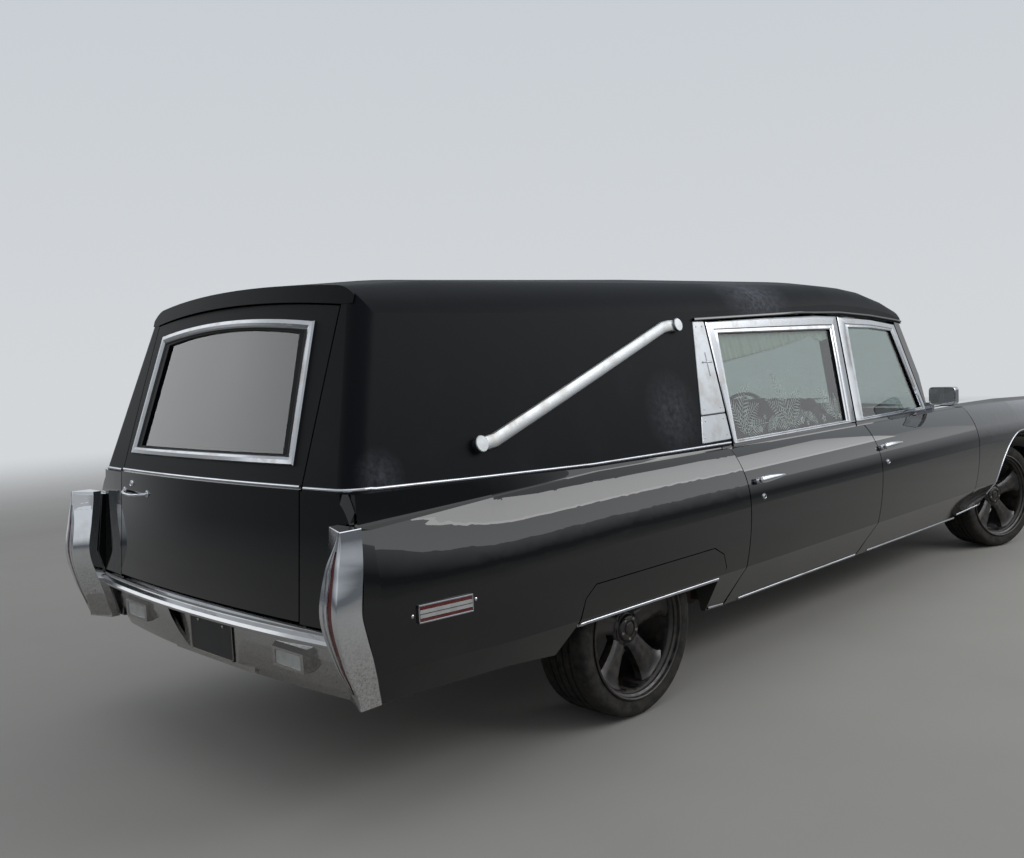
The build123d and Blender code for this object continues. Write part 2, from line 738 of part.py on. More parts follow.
wall_plane = Plane(origin=wall_point(*bar_low), x_dir=wall_point(*bar_high) - wall_point(*bar_low),
                   z_dir=(wall_taper, 1, wall_lean))
bar_outline = [(-2515, 1119), (-2425, 1123), (-1300, 1494), (-1200, 1502), (-1200, 1549), (-1310, 1545),
               (-2435, 1173), (-2515, 1163)]
with BuildPart() as landau_left:
    with BuildSketch(wall_plane.offset(3)):
        with BuildLine():
            local = [wall_plane.to_local_coords(wall_point(x, z)) for x, z in bar_outline]
            Polyline(*[(point.X, point.Y) for point in local], close=True)
        make_face()
    extrude(amount=14)
    with BuildSketch(wall_plane):
        with Locations((0, 0), ((wall_point(*bar_high) - wall_point(*bar_low)).length, 0)):
            Circle(32)
    extrude(amount=24)
with BuildPart() as landau_bars:
    add(both_sides(landau_left.part))
save(landau_bars, "landau_bars")

# Chassis frame: rails that kick up over the axle, joined by cross members
rail_outline = [(1700, 230), (-1000, 230), (-1380, 470), (-2120, 470), (-2400, 400), (-2990, 400),
                (-2990, 480), (-2400, 490), (-2140, 560), (-1360, 560), (-1030, 324), (1700, 324)]
front_rail_outline = [(1560, 230), (1560, 320), (1900, 420), (2990, 500), (2990, 420), (1900, 320), (1700, 230)]
rail_inner_y = 470
rail_outer_y = 545
with BuildPart() as rail_left:
    add(side_prism(rail_outline, rail_inner_y, rail_outer_y))
with BuildPart() as chassis_rails:
    add(both_sides(rail_left.part))
save(chassis_rails, "chassis_rails")

# Front rails, closer together, each with the web that joins it to the long rail
with BuildPart() as front_rail_left:
    add(side_prism(front_rail_outline, 370, 440))
    add(plate((1560, 440, 236), (1700, rail_inner_y, 318)))
with BuildPart() as front_rails:
    add(both_sides(front_rail_left.part))
save(front_rails, "front_rails")

# Cross members: middle, underside, top and half length of each
cross_rows = [
    (200, 236, 296, rail_inner_y),
    (-1000, 236, 296, rail_inner_y),
    (-2480, 420, 480, rail_inner_y),
    (1630, 240, 296, 370),
    (2930, 430, 490, 370),
]
with BuildPart() as cross_members:
    for x, low_z, high_z, half in cross_rows:
        add(plate((x - 45, -half, low_z), (x + 45, half, high_z)))
save(cross_members, "cross_members")

# Rear axle with its drum backing and differential case
with BuildPart() as rear_axle:
    with BuildSketch(Plane.XZ.offset(-690)):
        with Locations((rear_axle_x, axle_z)):
            Circle(38)
    extrude(amount=1380)
    with BuildSketch(Plane.XZ.offset(-120)):
        with Locations((rear_axle_x, axle_z)):
            Circle(135)
    extrude(amount=240)
    for y in (-508, 508):
        add(plate((rear_axle_x - 60, y - 30, axle_z + 20), (rear_axle_x + 60, y + 30, 470)))
save(rear_axle, "rear_axle")

with BuildPart() as driveshaft:
    with BuildSketch(Plane.YZ.offset(rear_axle_x + 120)):
        with Locations((0, axle_z)):
            Circle(38)
    extrude(amount=1700 - rear_axle_x - 120)
    add(rear_axle.part, mode=Mode.SUBTRACT)
save(driveshaft, "driveshaft")

with BuildPart() as fuel_tank:
    with Locations((-2730, 0, 470)):
        Box(440, 820, 200)
    fillet(edges().filter_by(Axis.Y), 40)
    add(cross_members.part, mode=Mode.SUBTRACT)
save(fuel_tank, "fuel_tank")

# Engine as one plain block
with BuildPart() as engine_block:
    add(plate((1700, -260, 320), (2560, 260, 850)))
save(engine_block, "engine_block")

# Front cross member with the upper and lower arms that hold the kingpins
arm_levels = ((225, 250), (440, 462))
with BuildPart() as front_crossmember:
    add(plate((2170, -440, 250), (2330, 440, 320)))
    for low_z, high_z in arm_levels:
        with BuildSketch(Plane.XY.offset(low_z)):
            with Locations((front_axle_x, kingpin_y), (front_axle_x, -kingpin_y)):
                Circle(34)
            for side in (-1, 1):
                with Locations((front_axle_x, side * (kingpin_y + 360) / 2)):
                    Rectangle(68, kingpin_y - 360)
        extrude(amount=high_z - low_z)
    add(front_rails.part, mode=Mode.SUBTRACT)
save(front_crossmember, "front_crossmember")

# Cabin fittings
with BuildPart() as bench_seat:
    add(side_prism([(280, 344), (300, 560), (330, 600), (800, 640), (860, 600), (850, 500), (760, 460), (740, 344)],
                   -620, 620))
    add(side_prism([(300, 500), (330, 620), (230, 1120), (150, 1130), (150, 1080), (190, 500)], -620, 620))
    add(plate((0, -tunnel_half - 15, 300), (900, tunnel_half + 15, tunnel_top + 15)), mode=Mode.SUBTRACT)
save(bench_seat, "bench_seat")

with BuildPart() as casket_deck:
    add(side_prism([(-2955, 598), (-1150, 598), (-1150, 640), (-190, 640), (-190, 344), (-160, 344), (-160, 668),
                    (-2955, 668)], -600, 600))
    add(plate((-1200, -tunnel_half - 15, 300), (0, tunnel_half + 15, tunnel_top + 15)), mode=Mode.SUBTRACT)
save(casket_deck, "casket_deck")

with BuildPart() as dashboard:
    add(side_prism([(1430, 955), (1180, 955), (1120, 900), (1150, 720), (1250, 690), (1430, 700)], -700, 700))
    with Locations(Plane(origin=(1200, 380, 840), z_dir=(-0.9, 0, 0.42))):
        Cylinder(24, 420)
save(dashboard, "dashboard")

with BuildPart() as hand_wheel:
    with BuildSketch(Plane.XZ):
        with Locations((190, 0)):
            RegularPolygon(13, 6)
    revolve(axis=Axis.Z)
    Box(370, 30, 14)
    Cylinder(38, 40)
with BuildPart() as steering_wheel:
    add(Plane(origin=(1013, 380, 927), z_dir=(-0.9, 0, 0.42)).location * hand_wheel.part)
    add(dashboard.part, mode=Mode.SUBTRACT)
save(steering_wheel, "steering_wheel")

# Exhaust: pipe and muffler hung below the cross members on the right
with BuildPart() as exhaust:
    with BuildSketch(Plane.YZ.offset(-1300)):
        with Locations((-330, 200)):
            Circle(26)
    extrude(amount=3000)
    with BuildSketch(Plane.YZ.offset(-700)):
        with Locations((-330, 200)):
            Ellipse(110, 55)
    extrude(amount=650)
    for x in (-1000, 200, 1630):
        add(plate((x - 12, -336, 200), (x + 12, -324, 236)))
    add(cross_members.part, mode=Mode.SUBTRACT)
save(exhaust, "exhaust")


def wheel_place(x, y, steer, pivot_y):
    """Plane at a wheel's centre whose Z points outwards along the spin axis."""
    side = 1 if y > 0 else -1
    angle = radians(steer)
    offset = y - pivot_y
    centre = (x - offset * sin(angle), pivot_y + offset * cos(angle), axle_z)
    return Plane(origin=centre, x_dir=(cos(angle), sin(angle), 0), z_dir=(-side * sin(angle), side * cos(angle), 0))


def make_tyre(place):
    with BuildPart() as tyre:
        with BuildSketch(Plane.XZ):
            with BuildLine():
                Polyline((258, -118), (tyre_radius, -104), (tyre_radius, 104), (258, 118), close=True)
            make_face()
        revolve(axis=Axis.Z)
    return place.location * tyre.part


def make_rim(place):
    with BuildPart() as rim:
        with BuildSketch(Plane.XZ):
            with BuildLine():
                Polyline((258, -118), (rim_radius, -122), (240, -122), (236, 80), (246, 106), (252, 108),
                         (256, 125), (rim_radius, 122), (258, 118), close=True)
            make_face()
        revolve(axis=Axis.Z)
        with BuildSketch(Plane.XY.offset(32)):
            Circle(239)
            with PolarLocations(164, 5, start_angle=90):
                RectangleRounded(108, 94, 18, mode=Mode.SUBTRACT)
        extrude(amount=32)
        with Locations((0, 0, 70)):
            Cone(72, 64, 12)
    return place.location * rim.part


places = {
    "front_left": wheel_place(front_axle_x, front_track_y, parked_steer, kingpin_y),
    "front_right": wheel_place(front_axle_x, -front_track_y, parked_steer, -kingpin_y),
    "rear_left": wheel_place(rear_axle_x, rear_track_y, 0, rear_track_y),
    "rear_right": wheel_place(rear_axle_x, -rear_track_y, 0, -rear_track_y),
}
for corner, place in places.items():
    with BuildPart() as tyre:
        add(make_tyre(place))
    save(tyre, "tyre_" + corner)
    with BuildPart() as rim:
        add(make_rim(place))
    save(rim, "rim_" + corner)

for side, sign in (("left", 1), ("right", -1)):
    place = places["front_" + side]
    depth = front_track_y - kingpin_y
    with BuildPart() as spindle:
        with Locations((0, 0, -depth / 2 + 12)):
            Cylinder(31, depth + 24)
    with BuildPart() as knuckle:
        with Locations((front_axle_x, sign * kingpin_y, 345)):
            Cylinder(kingpin_radius, 180)
        add(place.location * spindle.part)
    save(knuckle, "knuckle_" + side)
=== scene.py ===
import bpy
import bmesh
import json
import math
from mathutils import Matrix, Vector
from mathutils.bvhtree import BVHTree


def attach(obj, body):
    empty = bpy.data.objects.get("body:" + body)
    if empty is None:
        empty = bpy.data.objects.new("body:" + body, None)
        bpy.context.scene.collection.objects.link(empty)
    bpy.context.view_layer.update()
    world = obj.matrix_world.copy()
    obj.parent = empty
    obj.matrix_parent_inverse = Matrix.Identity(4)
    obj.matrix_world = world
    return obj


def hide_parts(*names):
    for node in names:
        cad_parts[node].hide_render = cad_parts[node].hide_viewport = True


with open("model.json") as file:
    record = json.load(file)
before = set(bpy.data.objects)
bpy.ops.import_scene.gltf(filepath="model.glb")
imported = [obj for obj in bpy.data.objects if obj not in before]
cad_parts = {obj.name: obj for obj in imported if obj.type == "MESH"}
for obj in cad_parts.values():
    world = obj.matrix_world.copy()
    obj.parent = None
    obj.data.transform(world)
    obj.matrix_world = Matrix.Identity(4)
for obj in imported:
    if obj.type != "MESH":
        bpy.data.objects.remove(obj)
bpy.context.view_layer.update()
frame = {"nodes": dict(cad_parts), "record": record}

# Sizes in metres: X runs forward, Y to the left and Z up
tyre_radius = 0.342
rear_axle = Vector((-1.750, 0, tyre_radius))
front_axle = Vector((2.250, 0, tyre_radius))
rear_track = 0.782
kingpin_y = 0.672
kingpin_to_wheel = 0.088
parked_steer = math.radians(-16.5)
wall_rear = Vector((-3.031, 0.892, 0.990))
wall_taper = 0.080 / 4.281
wall_lean = 0.2404
wall_normal = Vector((wall_taper, 1, wall_lean)).normalized()
door_belt_z = 1.0035
tail_belt_z = 1.060
beside_car = 1.4
behind_car = -3.8
sides = (("left", 1), ("right", -1))


# Colours, nodes and patterns
def linear(code):
    """Linear colour of an sRGB hex code."""
    parts = [int(code[i:i + 2], 16) / 255 for i in (1, 3, 5)]
    return tuple(c / 12.92 if c <= 0.04045 else ((c + 0.055) / 1.055) ** 2.4 for c in parts) + (1.0,)


def node(tree, kind, inputs=None, out=0, **settings):
    """Adds a node, sets its settings, then sets or links its inputs, and gives back one of its outputs.

    A hex code among the inputs becomes a colour. In a colour Mix node 0 is the share, 6 and 7 are the
    colours and output 2 is the result.
    """
    made = tree.nodes.new("ShaderNode" + kind)
    for name, value in settings.items():
        setattr(made, name, value)
    for socket, value in (inputs or {}).items():
        if isinstance(value, bpy.types.NodeSocket):
            tree.links.new(value, made.inputs[socket])
        else:
            made.inputs[socket].default_value = linear(value) if isinstance(value, str) else value
    return made.outputs[out] if len(made.outputs) else None


def levels(low, high, start=0.0, end=1.0):
    """Inputs that map one span of values to another."""
    return {"From Min": low, "From Max": high, "To Min": start, "To Max": end}


def patches(tree, coords, millimetres, low=0.0, high=1.0, start=0.0, end=1.0, detail=3.0, roughness=0.55):
    """Cloudy patches about so many millimetres across, cut between two levels."""
    cloud = node(tree, "TexNoise", {"Vector": coords, "Scale": 1000 / millimetres, "Detail": detail,
                                    "Roughness": roughness})
    return node(tree, "MapRange", {"Value": cloud, **levels(low, high, start, end)})


def relief(tree, coords, millimetres, depth, strength, detail=3.0):
    """Uneven skin with lumps about so many millimetres across and so deep."""
    lumps = patches(tree, coords, millimetres, detail=detail)
    return node(tree, "Bump", {"Height": lumps, "Distance": depth / 1000, "Strength": strength})


def above_ground(tree, coords, low, high, start=0.0, end=1.0):
    """Value that changes between two heights over the ground."""
    height = node(tree, "SeparateXYZ", {"Vector": coords}, "Z")
    return node(tree, "MapRange", {"Value": height, **levels(low, high, start, end)})


def finish(name, surface, *details):
    """Material whose surface function lays its nodes."""
    material = bpy.data.materials.new(name)
    material.use_nodes = True
    tree = material.node_tree
    tree.nodes.clear()
    coords = node(tree, "TexCoord", out="Object")
    node(tree, "OutputMaterial", {"Surface": surface(tree, coords, *details)})
    return material


# Finishes
def gloss_layer(tree, coords):
    """Sprayed black enamel, polished like a mirror, with a film of dust low on the sides and fine specks."""
    low_side = above_ground(tree, coords, 0.28, 0.62, 0.22, 0.0)
    dust = node(tree, "Math", {0: low_side, 1: patches(tree, coords, 180, 0.35, 0.75)}, operation="MULTIPLY")
    specks = patches(tree, coords, 9, 0.62, 0.80, 0.0, 0.05, detail=6)
    film = node(tree, "Math", {0: dust, 1: specks}, operation="MAXIMUM")
    polish = patches(tree, coords, 60, 0.3, 0.8, 0.015, 0.045)
    rough = node(tree, "Math", {0: film, 1: 0.5, 2: polish}, operation="MULTIPLY_ADD")
    colour = node(tree, "Mix", {0: film, 6: "#020305", 7: "#4a443d"}, 2, data_type="RGBA")
    return node(tree, "BsdfPrincipled",
                {"Base Color": colour, "Roughness": rough, "Specular IOR Level": 0.22, "Coat Weight": 0.9,
                 "Coat Roughness": 0.015, "Normal": relief(tree, coords, 420, 1.5, 0.10, detail=1)})


# Worn patches of the roof covering, the last of them a pale painted highlight on the rounded rear corner:
# place on the left side, radius and strength
roof_wear_and_corner_highlight = (((-1.36, 0.80, 1.16), 0.20, 0.55), ((-0.45, 0.62, 1.69), 0.34, 0.9),
             ((-2.93, 0.88, 1.09), 0.10, 0.6))


def satin_layer(tree, coords):
    """Satin black brushed over the pebbled roof covering, dull, chalky and scuffed grey in patches, with a
    pale painted highlight on each rounded rear corner and a blue tint in its black that is painted sky
    reflection.
    """
    cloud = patches(tree, coords, 220, 0.52, 0.80, detail=5)
    scuff = patches(tree, coords, 26, 0.30, 0.75, detail=6, roughness=0.7)
    wear_and_highlight = node(tree, "Math", {0: cloud, 1: 0.06}, operation="MULTIPLY")
    # Pale patches round the listed places: wear, and a painted highlight at each rear corner
    for (x, y, z), radius, strength in roof_wear_and_corner_highlight:
        for _, sign in sides:
            away = node(tree, "VectorMath", {0: coords, 1: (x, sign * y, z)}, "Value", operation="DISTANCE")
            patch = node(tree, "MapRange", {"Value": away, **levels(0.0, radius, strength, 0.0)})
            wear_and_highlight = node(tree, "Math", {0: wear_and_highlight, 1: patch}, operation="MAXIMUM")
    wear_and_highlight = node(tree, "Math", {0: wear_and_highlight, 1: scuff}, operation="MULTIPLY")
    # The blue in the base black is painted sky reflection
    return node(tree, "BsdfPrincipled",
                {"Base Color": node(tree, "Mix", {0: wear_and_highlight, 6: "#070b10", 7: "#64676e"}, 2, data_type="RGBA"),
                 "Roughness": node(tree, "MapRange", {"Value": wear_and_highlight, **levels(0.0, 0.6, 0.48, 0.70)}),
                 "Specular IOR Level": 0.08, "Normal": relief(tree, coords, 2.2, 0.35, 0.35, detail=2)})


def tail_layers(tree, coords):
    """The tail door is satin like the roof above its moulding and glossy like the body below it."""
    above = above_ground(tree, coords, tail_belt_z, tail_belt_z + 0.001)
    return node(tree, "MixShader", {0: above, 1: gloss_layer(tree, coords), 2: satin_layer(tree, coords)})


def chrome_plate(tree, coords, haze=0.06, tint="#c9ccd2", splash=None):
    """Chromium on steel, bright, with hazy pitting and a brown film of dust where rain dries.

    Splash is the span of heights over which road dirt thins out.
    """
    pits = patches(tree, coords, 4, 0.56, 0.72, detail=5, roughness=0.7)
    film = patches(tree, coords, 95, 0.50, 0.78, 0.0, 0.6, detail=4)
    if splash:
        low = above_ground(tree, coords, *splash, 1.0, 0.0)
        drops = patches(tree, coords, 7, 0.44, 0.62, 0.12, 0.75, detail=6, roughness=0.75)
        spray = node(tree, "Math", {0: low, 1: drops}, operation="MULTIPLY")
        thin = node(tree, "Math", {0: film, 1: 0.4}, operation="MULTIPLY")
        film = node(tree, "Math", {0: thin, 1: spray}, operation="MAXIMUM")
    hazed = node(tree, "MapRange", {"Value": film, **levels(0.0, 0.6, haze, haze + 0.16)})
    return node(tree, "BsdfPrincipled",
                {"Base Color": node(tree, "Mix", {0: film, 6: tint, 7: "#8f8578"}, 2, data_type="RGBA"),
                 "Roughness": node(tree, "Math", {0: pits, 1: 0.12, 2: hazed}, operation="MULTIPLY_ADD"),
                 "Metallic": 1.0, "Normal": relief(tree, coords, 35, 0.3, 0.1, detail=2)})


def clear_glass(tree, coords):
    """Faintly green toughened glass, drawn as one thin sheet, so it mirrors on its outer face alone."""
    dust = patches(tree, coords, 240, 0.45, 0.80, 0.0, 0.035, detail=5)
    clear = node(tree, "BsdfTransparent", {"Color": "#dae1df"})
    gloss = node(tree, "BsdfGlossy", {"Color": "#ffffff", "Roughness": 0.01})
    film = node(tree, "BsdfDiffuse", {"Color": "#8d8d88"})
    grazing = node(tree, "Fresnel", {"IOR": 1.52})
    mirrored = node(tree, "MapRange", {"Value": grazing, **levels(0.0, 1.0, 0.04, 1.0)})
    inner_face = node(tree, "NewGeometry", out="Backfacing")
    outside = node(tree, "MapRange", {"Value": inner_face, **levels(0.0, 1.0, 1.0, 0.0)})
    share = node(tree, "Math", {0: mirrored, 1: outside}, operation="MULTIPLY")
    sheet = node(tree, "MixShader", {0: share, 1: clear, 2: gloss})
    return node(tree, "MixShader", {0: dust, 1: sheet, 2: film})


def tyre_rubber(tree, coords):
    """Vulcanised tyre rubber, dry and grey with road dust."""
    dust = patches(tree, coords, 40, 0.35, 0.75, 0.0, 0.5, detail=5, roughness=0.65)
    return node(tree, "BsdfPrincipled",
                {"Base Color": node(tree, "Mix", {0: dust, 6: "#141414", 7: "#4b4640"}, 2, data_type="RGBA"),
                 "Roughness": 0.82, "Specular IOR Level": 0.3,
                 "Normal": relief(tree, coords, 3, 0.5, 0.3, detail=4)})


def wheel_enamel(tree, coords):
    """Satin black wheel paint over cast aluminium, brown with brake and road dust in the hollows."""
    dust = patches(tree, coords, 28, 0.38, 0.78, 0.0, 0.55, detail=5)
    return node(tree, "BsdfPrincipled",
                {"Base Color": node(tree, "Mix", {0: dust, 6: "#0d0d0e", 7: "#4a4139"}, 2, data_type="RGBA"),
                 "Roughness": node(tree, "MapRange", {"Value": dust, **levels(0.0, 0.5, 0.30, 0.75)}),
                 "Coat Weight": 0.2, "Coat Roughness": 0.2})


def chassis_paint(tree, coords):
    """Thin black frame paint, rusting and caked with red clay dust."""
    rust = patches(tree, coords, 55, 0.50, 0.66, detail=6, roughness=0.65)
    clay = patches(tree, coords, 160, 0.42, 0.75, 0.0, 0.6, detail=4)
    rusted = node(tree, "Mix", {0: rust, 6: "#151414", 7: "#4a2c1c"}, 2, data_type="RGBA")
    return node(tree, "BsdfPrincipled",
                {"Base Color": node(tree, "Mix", {0: clay, 6: rusted, 7: "#6b4a36"}, 2, data_type="RGBA"),
                 "Roughness": 0.78, "Normal": relief(tree, coords, 6, 0.8, 0.4, detail=5)})


def cast_iron(tree, coords):
    """Sand-cast iron, dark and grainy, with oily dust."""
    oil = patches(tree, coords, 90, 0.4, 0.7, detail=5)
    return node(tree, "BsdfPrincipled",
                {"Base Color": node(tree, "Mix", {0: oil, 6: "#2c2a29", 7: "#15120f"}, 2, data_type="RGBA"),
                 "Roughness": node(tree, "MapRange", {"Value": oil, **levels(0.0, 1.0, 0.75, 0.42)}),
                 "Metallic": 0.4, "Normal": relief(tree, coords, 2.5, 0.6, 0.5)})


def lamp_lens(tree, coords, code, clear_share):
    """Moulded acrylic lens, fluted upright every 4 mm, which spreads the light into fine stripes."""
    flute_pitch = 4.0
    bands_per_unit = 0.314
    flutes = node(tree, "TexWave", {"Vector": coords, "Scale": bands_per_unit * 1000 / flute_pitch}, "Fac",
                  bands_direction="Y")
    dust = patches(tree, coords, 45, 0.45, 0.8, 0.0, 0.3, detail=4)
    return node(tree, "BsdfPrincipled",
                {"Base Color": node(tree, "Mix", {0: dust, 6: code, 7: "#6b625a"}, 2, data_type="RGBA"),
                 "Roughness": 0.18, "IOR": 1.49, "Transmission Weight": clear_share, "Coat Weight": 0.4,
                 "Normal": node(tree, "Bump", {"Height": flutes, "Distance": 0.0005, "Strength": 0.3})})


def seat_vinyl(tree, coords):
    """Expanded black vinyl, shiny where people slid across it, with a pressed leather grain.

    The real grain is near 1 mm, and it is drawn at 3 mm so that it shows.
    """
    cells = node(tree, "TexVoronoi", {"Vector": coords, "Scale": 1000 / 3.0}, "Distance",
                 feature="DISTANCE_TO_EDGE")
    tone = patches(tree, coords, 120)
    return node(tree, "BsdfPrincipled",
                {"Base Color": node(tree, "Mix", {0: tone, 6: "#121113", 7: "#1d1b1d"}, 2, data_type="RGBA"),
                 "Roughness": patches(tree, coords, 140, 0.3, 0.7, 0.38, 0.55),
                 "Normal": node(tree, "Bump", {"Height": cells, "Distance": 0.0004, "Strength": 0.5})})


def deck_board(tree, coords):
    """Varnished plywood deck, warm brown with long grain along the car."""
    drawn_out = node(tree, "Mapping", {"Vector": coords, "Scale": (0.06, 1.0, 1.0)})
    streak = patches(tree, drawn_out, 30, detail=6)
    wood = node(tree, "Mix", {0: streak, 6: "#3a2415", 7: "#6d4526"}, 2, data_type="RGBA")
    return node(tree, "BsdfPrincipled",
                {"Base Color": wood, "Roughness": 0.35, "Coat Weight": 0.3,
                 "Normal": node(tree, "Bump", {"Height": streak, "Distance": 0.0003, "Strength": 0.2})})


def moulded_black(tree, coords, rough, code="#131314"):
    """Moulded black plastic with a fine pebbled skin."""
    tone = patches(tree, coords, 80)
    return node(tree, "BsdfPrincipled",
                {"Base Color": node(tree, "Mix", {0: tone, 6: code, 7: "#262628"}, 2, data_type="RGBA"),
                 "Roughness": rough, "Normal": relief(tree, coords, 1.5, 0.2, 0.3)})


def frosted_etch(tree, coords):
    """Glass roughened by etching acid, white where light catches it."""
    white = node(tree, "BsdfDiffuse", {"Color": "#dfe6e4", "Roughness": 0.6})
    through = node(tree, "BsdfTranslucent", {"Color": "#dfe6e4"})
    milky = node(tree, "MixShader", {0: 0.5, 1: white, 2: through})
    veil = patches(tree, coords, 12, 0.3, 0.7, 0.55, 0.25, detail=4)
    return node(tree, "MixShader", {0: veil, 1: milky, 2: node(tree, "BsdfTransparent")})


def satin_curtain(tree, coords):
    """Woven acetate satin, off-white with a soft sheen, yellowed along the folds.

    Its weave is too fine to show, so it is drawn at 1.2 mm.
    """
    aged = patches(tree, coords, 60, detail=4)
    return node(tree, "BsdfPrincipled",
                {"Base Color": node(tree, "Mix", {0: aged, 6: "#d9dcd6", 7: "#c6c4b4"}, 2, data_type="RGBA"),
                 "Roughness": 0.55, "Sheen Weight": 0.3, "Normal": relief(tree, coords, 1.2, 0.1, 0.3)})


def exhaust_pipe_steel(tree, coords):
    """Aluminised exhaust steel, dull grey going brown with heat and rust."""
    rust = patches(tree, coords, 70, 0.42, 0.62, detail=6, roughness=0.65)
    return node(tree, "BsdfPrincipled",
                {"Base Color": node(tree, "Mix", {0: rust, 6: "#77706a", 7: "#5b3a26"}, 2, data_type="RGBA"),
                 "Roughness": node(tree, "MapRange", {"Value": rust, **levels(0.0, 1.0, 0.42, 0.85)}),
                 "Metallic": 0.7, "Normal": relief(tree, coords, 5, 0.4, 0.3)})


enamel = finish("gloss_black_enamel", gloss_layer)
chrome = finish("chrome_plate", chrome_plate)
bumper_chrome = finish("bumper_chrome_dusty", chrome_plate, 0.10, "#bfc0c2", (0.48, 0.62))
cap_chrome = finish("cap_chrome_splashed", chrome_plate, 0.04, "#e8eaee", (0.52, 0.74))
mirror_silver = finish("mirror_silvered_glass", chrome_plate, 0.02, "#e4e7ea")
bright_metal = finish("window_frame_stainless", chrome_plate, 0.13, "#b8bbbf")
pillar_metal = finish("pillar_cover_brushed", chrome_plate, 0.34, "#b0b4b8")
worn_silver = finish("landau_silver_worn", chrome_plate, 0.34, "#a6a9ab")
nut_steel = finish("wheel_nut_steel", chrome_plate, 0.25, "#9a958c")
rubber = finish("tyre_rubber", tyre_rubber)
wheel_black = finish("wheel_black_paint", wheel_enamel)
red_lens = finish("red_acrylic_lens", lamp_lens, "#5e0d10", 0.15)
clear_lens = finish("clear_acrylic_lens", lamp_lens, "#dfe2e0", 0.5)
vinyl = finish("seat_vinyl_black", seat_vinyl)
# Flat black for the window seal and the marker's line, also painted shade for the key and hub slots
flat_black_and_slot_shade = finish("flat_black_and_painted_slot_shade", moulded_black, 0.85, "#080808")
plate_paint = finish("number_plate_dark_paint", moulded_black, 0.4, "#0c1016")
etched_frost = finish("etched_glass_frost", frosted_etch)
curtain_cloth = finish("curtain_satin_white", satin_curtain)

slot_finishes = {
    "black_paint": enamel, "roof_paint": finish("satin_roof_black", satin_layer), "chrome": chrome,
    "window_glass": finish("clear_glass", clear_glass), "tyre": rubber, "wheel_black": wheel_black,
    "frame_black": finish("chassis_black_rusting", chassis_paint),
    "cast_iron": finish("cast_iron_oily", cast_iron), "lamp_glass": clear_lens, "red_lens": red_lens,
    "seat_vinyl": vinyl, "deck_board": finish("deck_board_varnished", deck_board),
    "dash_vinyl": finish("dash_vinyl_black", moulded_black, 0.55),
    "wheel_rim_plastic": finish("steering_wheel_black", moulded_black, 0.25),
    "exhaust_steel": finish("exhaust_steel_aged", exhaust_pipe_steel),
}
node_finishes = {"tail_door": finish("tail_black_two_sheens", tail_layers), "bumper_rear": bumper_chrome,
                 "bumper_front": bumper_chrome}


def paint(thing, material):
    """Gives a piece one material all over."""
    thing.data.materials.clear()
    thing.data.materials.append(material)


for part in frame["record"]["subparts"]:
    name = part["node"]
    paint(frame["nodes"][name], node_finishes.get(name, slot_finishes[part["material_slot"]]))


# Mesh helpers: a skin is a pair of vertex and face lists
def add_piece(name, skins, material, body, sharp=35, place=None):
    """Makes one mesh piece out of skins, with one finish, that rides on a body."""
    vertices, faces = [], []
    for skin_vertices, skin_faces in skins:
        shift = len(vertices)
        vertices += [tuple(v) for v in skin_vertices]
        faces += [tuple(i + shift for i in face) for face in skin_faces]
    mesh = bpy.data.meshes.new(name)
    mesh.from_pydata(vertices, [], faces)
    mesh.update()
    work = bmesh.new()
    work.from_mesh(mesh)
    bmesh.ops.recalc_face_normals(work, faces=work.faces)
    work.to_mesh(mesh)
    work.free()
    for face in mesh.polygons:
        face.use_smooth = True
    mesh.set_sharp_from_angle(angle=math.radians(sharp))
    made = bpy.data.objects.new(name, mesh)
    if place is not None:
        made.matrix_world = place
    bpy.context.scene.collection.objects.link(made)
    paint(made, material)
    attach(made, body)
    return made


def skin(rings, looped=False):
    """Skin over rings of equal length, with capped ends or closed into a loop."""
    count = len(rings[0])
    faces = []
    for i in range(len(rings) if looped else len(rings) - 1):
        j = (i + 1) % len(rings)
        for k in range(count):
            m = (k + 1) % count
            faces.append((i * count + k, i * count + m, j * count + m, j * count + k))
    if not looped:
        faces.append(tuple(range(count)))
        faces.append(tuple((len(rings) - 1) * count + k for k in reversed(range(count))))
    return [v for ring in rings for v in ring], faces


def sweep(path, outward, section, closed=False):
    """Carries a section of (across, out) points along a path whose outward directions are given."""
    rings = []
    for i, point in enumerate(path):
        before = path[i - 1] if i or closed else path[i]
        after = path[(i + 1) % len(path)] if i + 1 < len(path) or closed else path[i]
        along = (after - before).normalized()
        across = along.cross(outward[i]).normalized()
        out = across.cross(along).normalized()
        rings.append([point + across * a + out * o for a, o in section])
    return skin(rings, looped=closed)


def turned(profile, steps):
    """Revolves (radius, height) points about Z into a closed skin."""
    turns = [2 * math.pi * i / steps for i in range(steps)]
    rings = [[Vector((r * math.cos(a), r * math.sin(a), z)) for r, z in profile] for a in turns]
    return skin(rings, looped=True)


def moved(skins, place):
    """Copies of skins moved by a matrix."""
    return [([place @ Vector(v) for v in vertices], faces) for vertices, faces in skins]


def standing(point, heading):
    """Placement at a point with Z along a heading."""
    return Matrix.Translation(point) @ Vector(heading).to_track_quat("Z", "Y").to_matrix().to_4x4()


def resample(points, count):
    """Evenly spaced points along a polyline."""
    points = [Vector(p) for p in points]
    lengths = [(b - a).length for a, b in zip(points, points[1:])]
    total = sum(lengths)
    out = []
    for i in range(count):
        left = total * i / (count - 1)
        k = 0
        while k < len(lengths) - 1 and left > lengths[k]:
            left -= lengths[k]
            k += 1
        out.append(points[k].lerp(points[k + 1], min(1.0, left / lengths[k])))
    return out


def walked(corners, steps):
    """Points round a closed outline, the same number on each side."""
    pairs = zip(corners, corners[1:] + corners[:1])
    return [Vector(a).lerp(Vector(b), k / steps) for a, b in pairs for k in range(steps)]


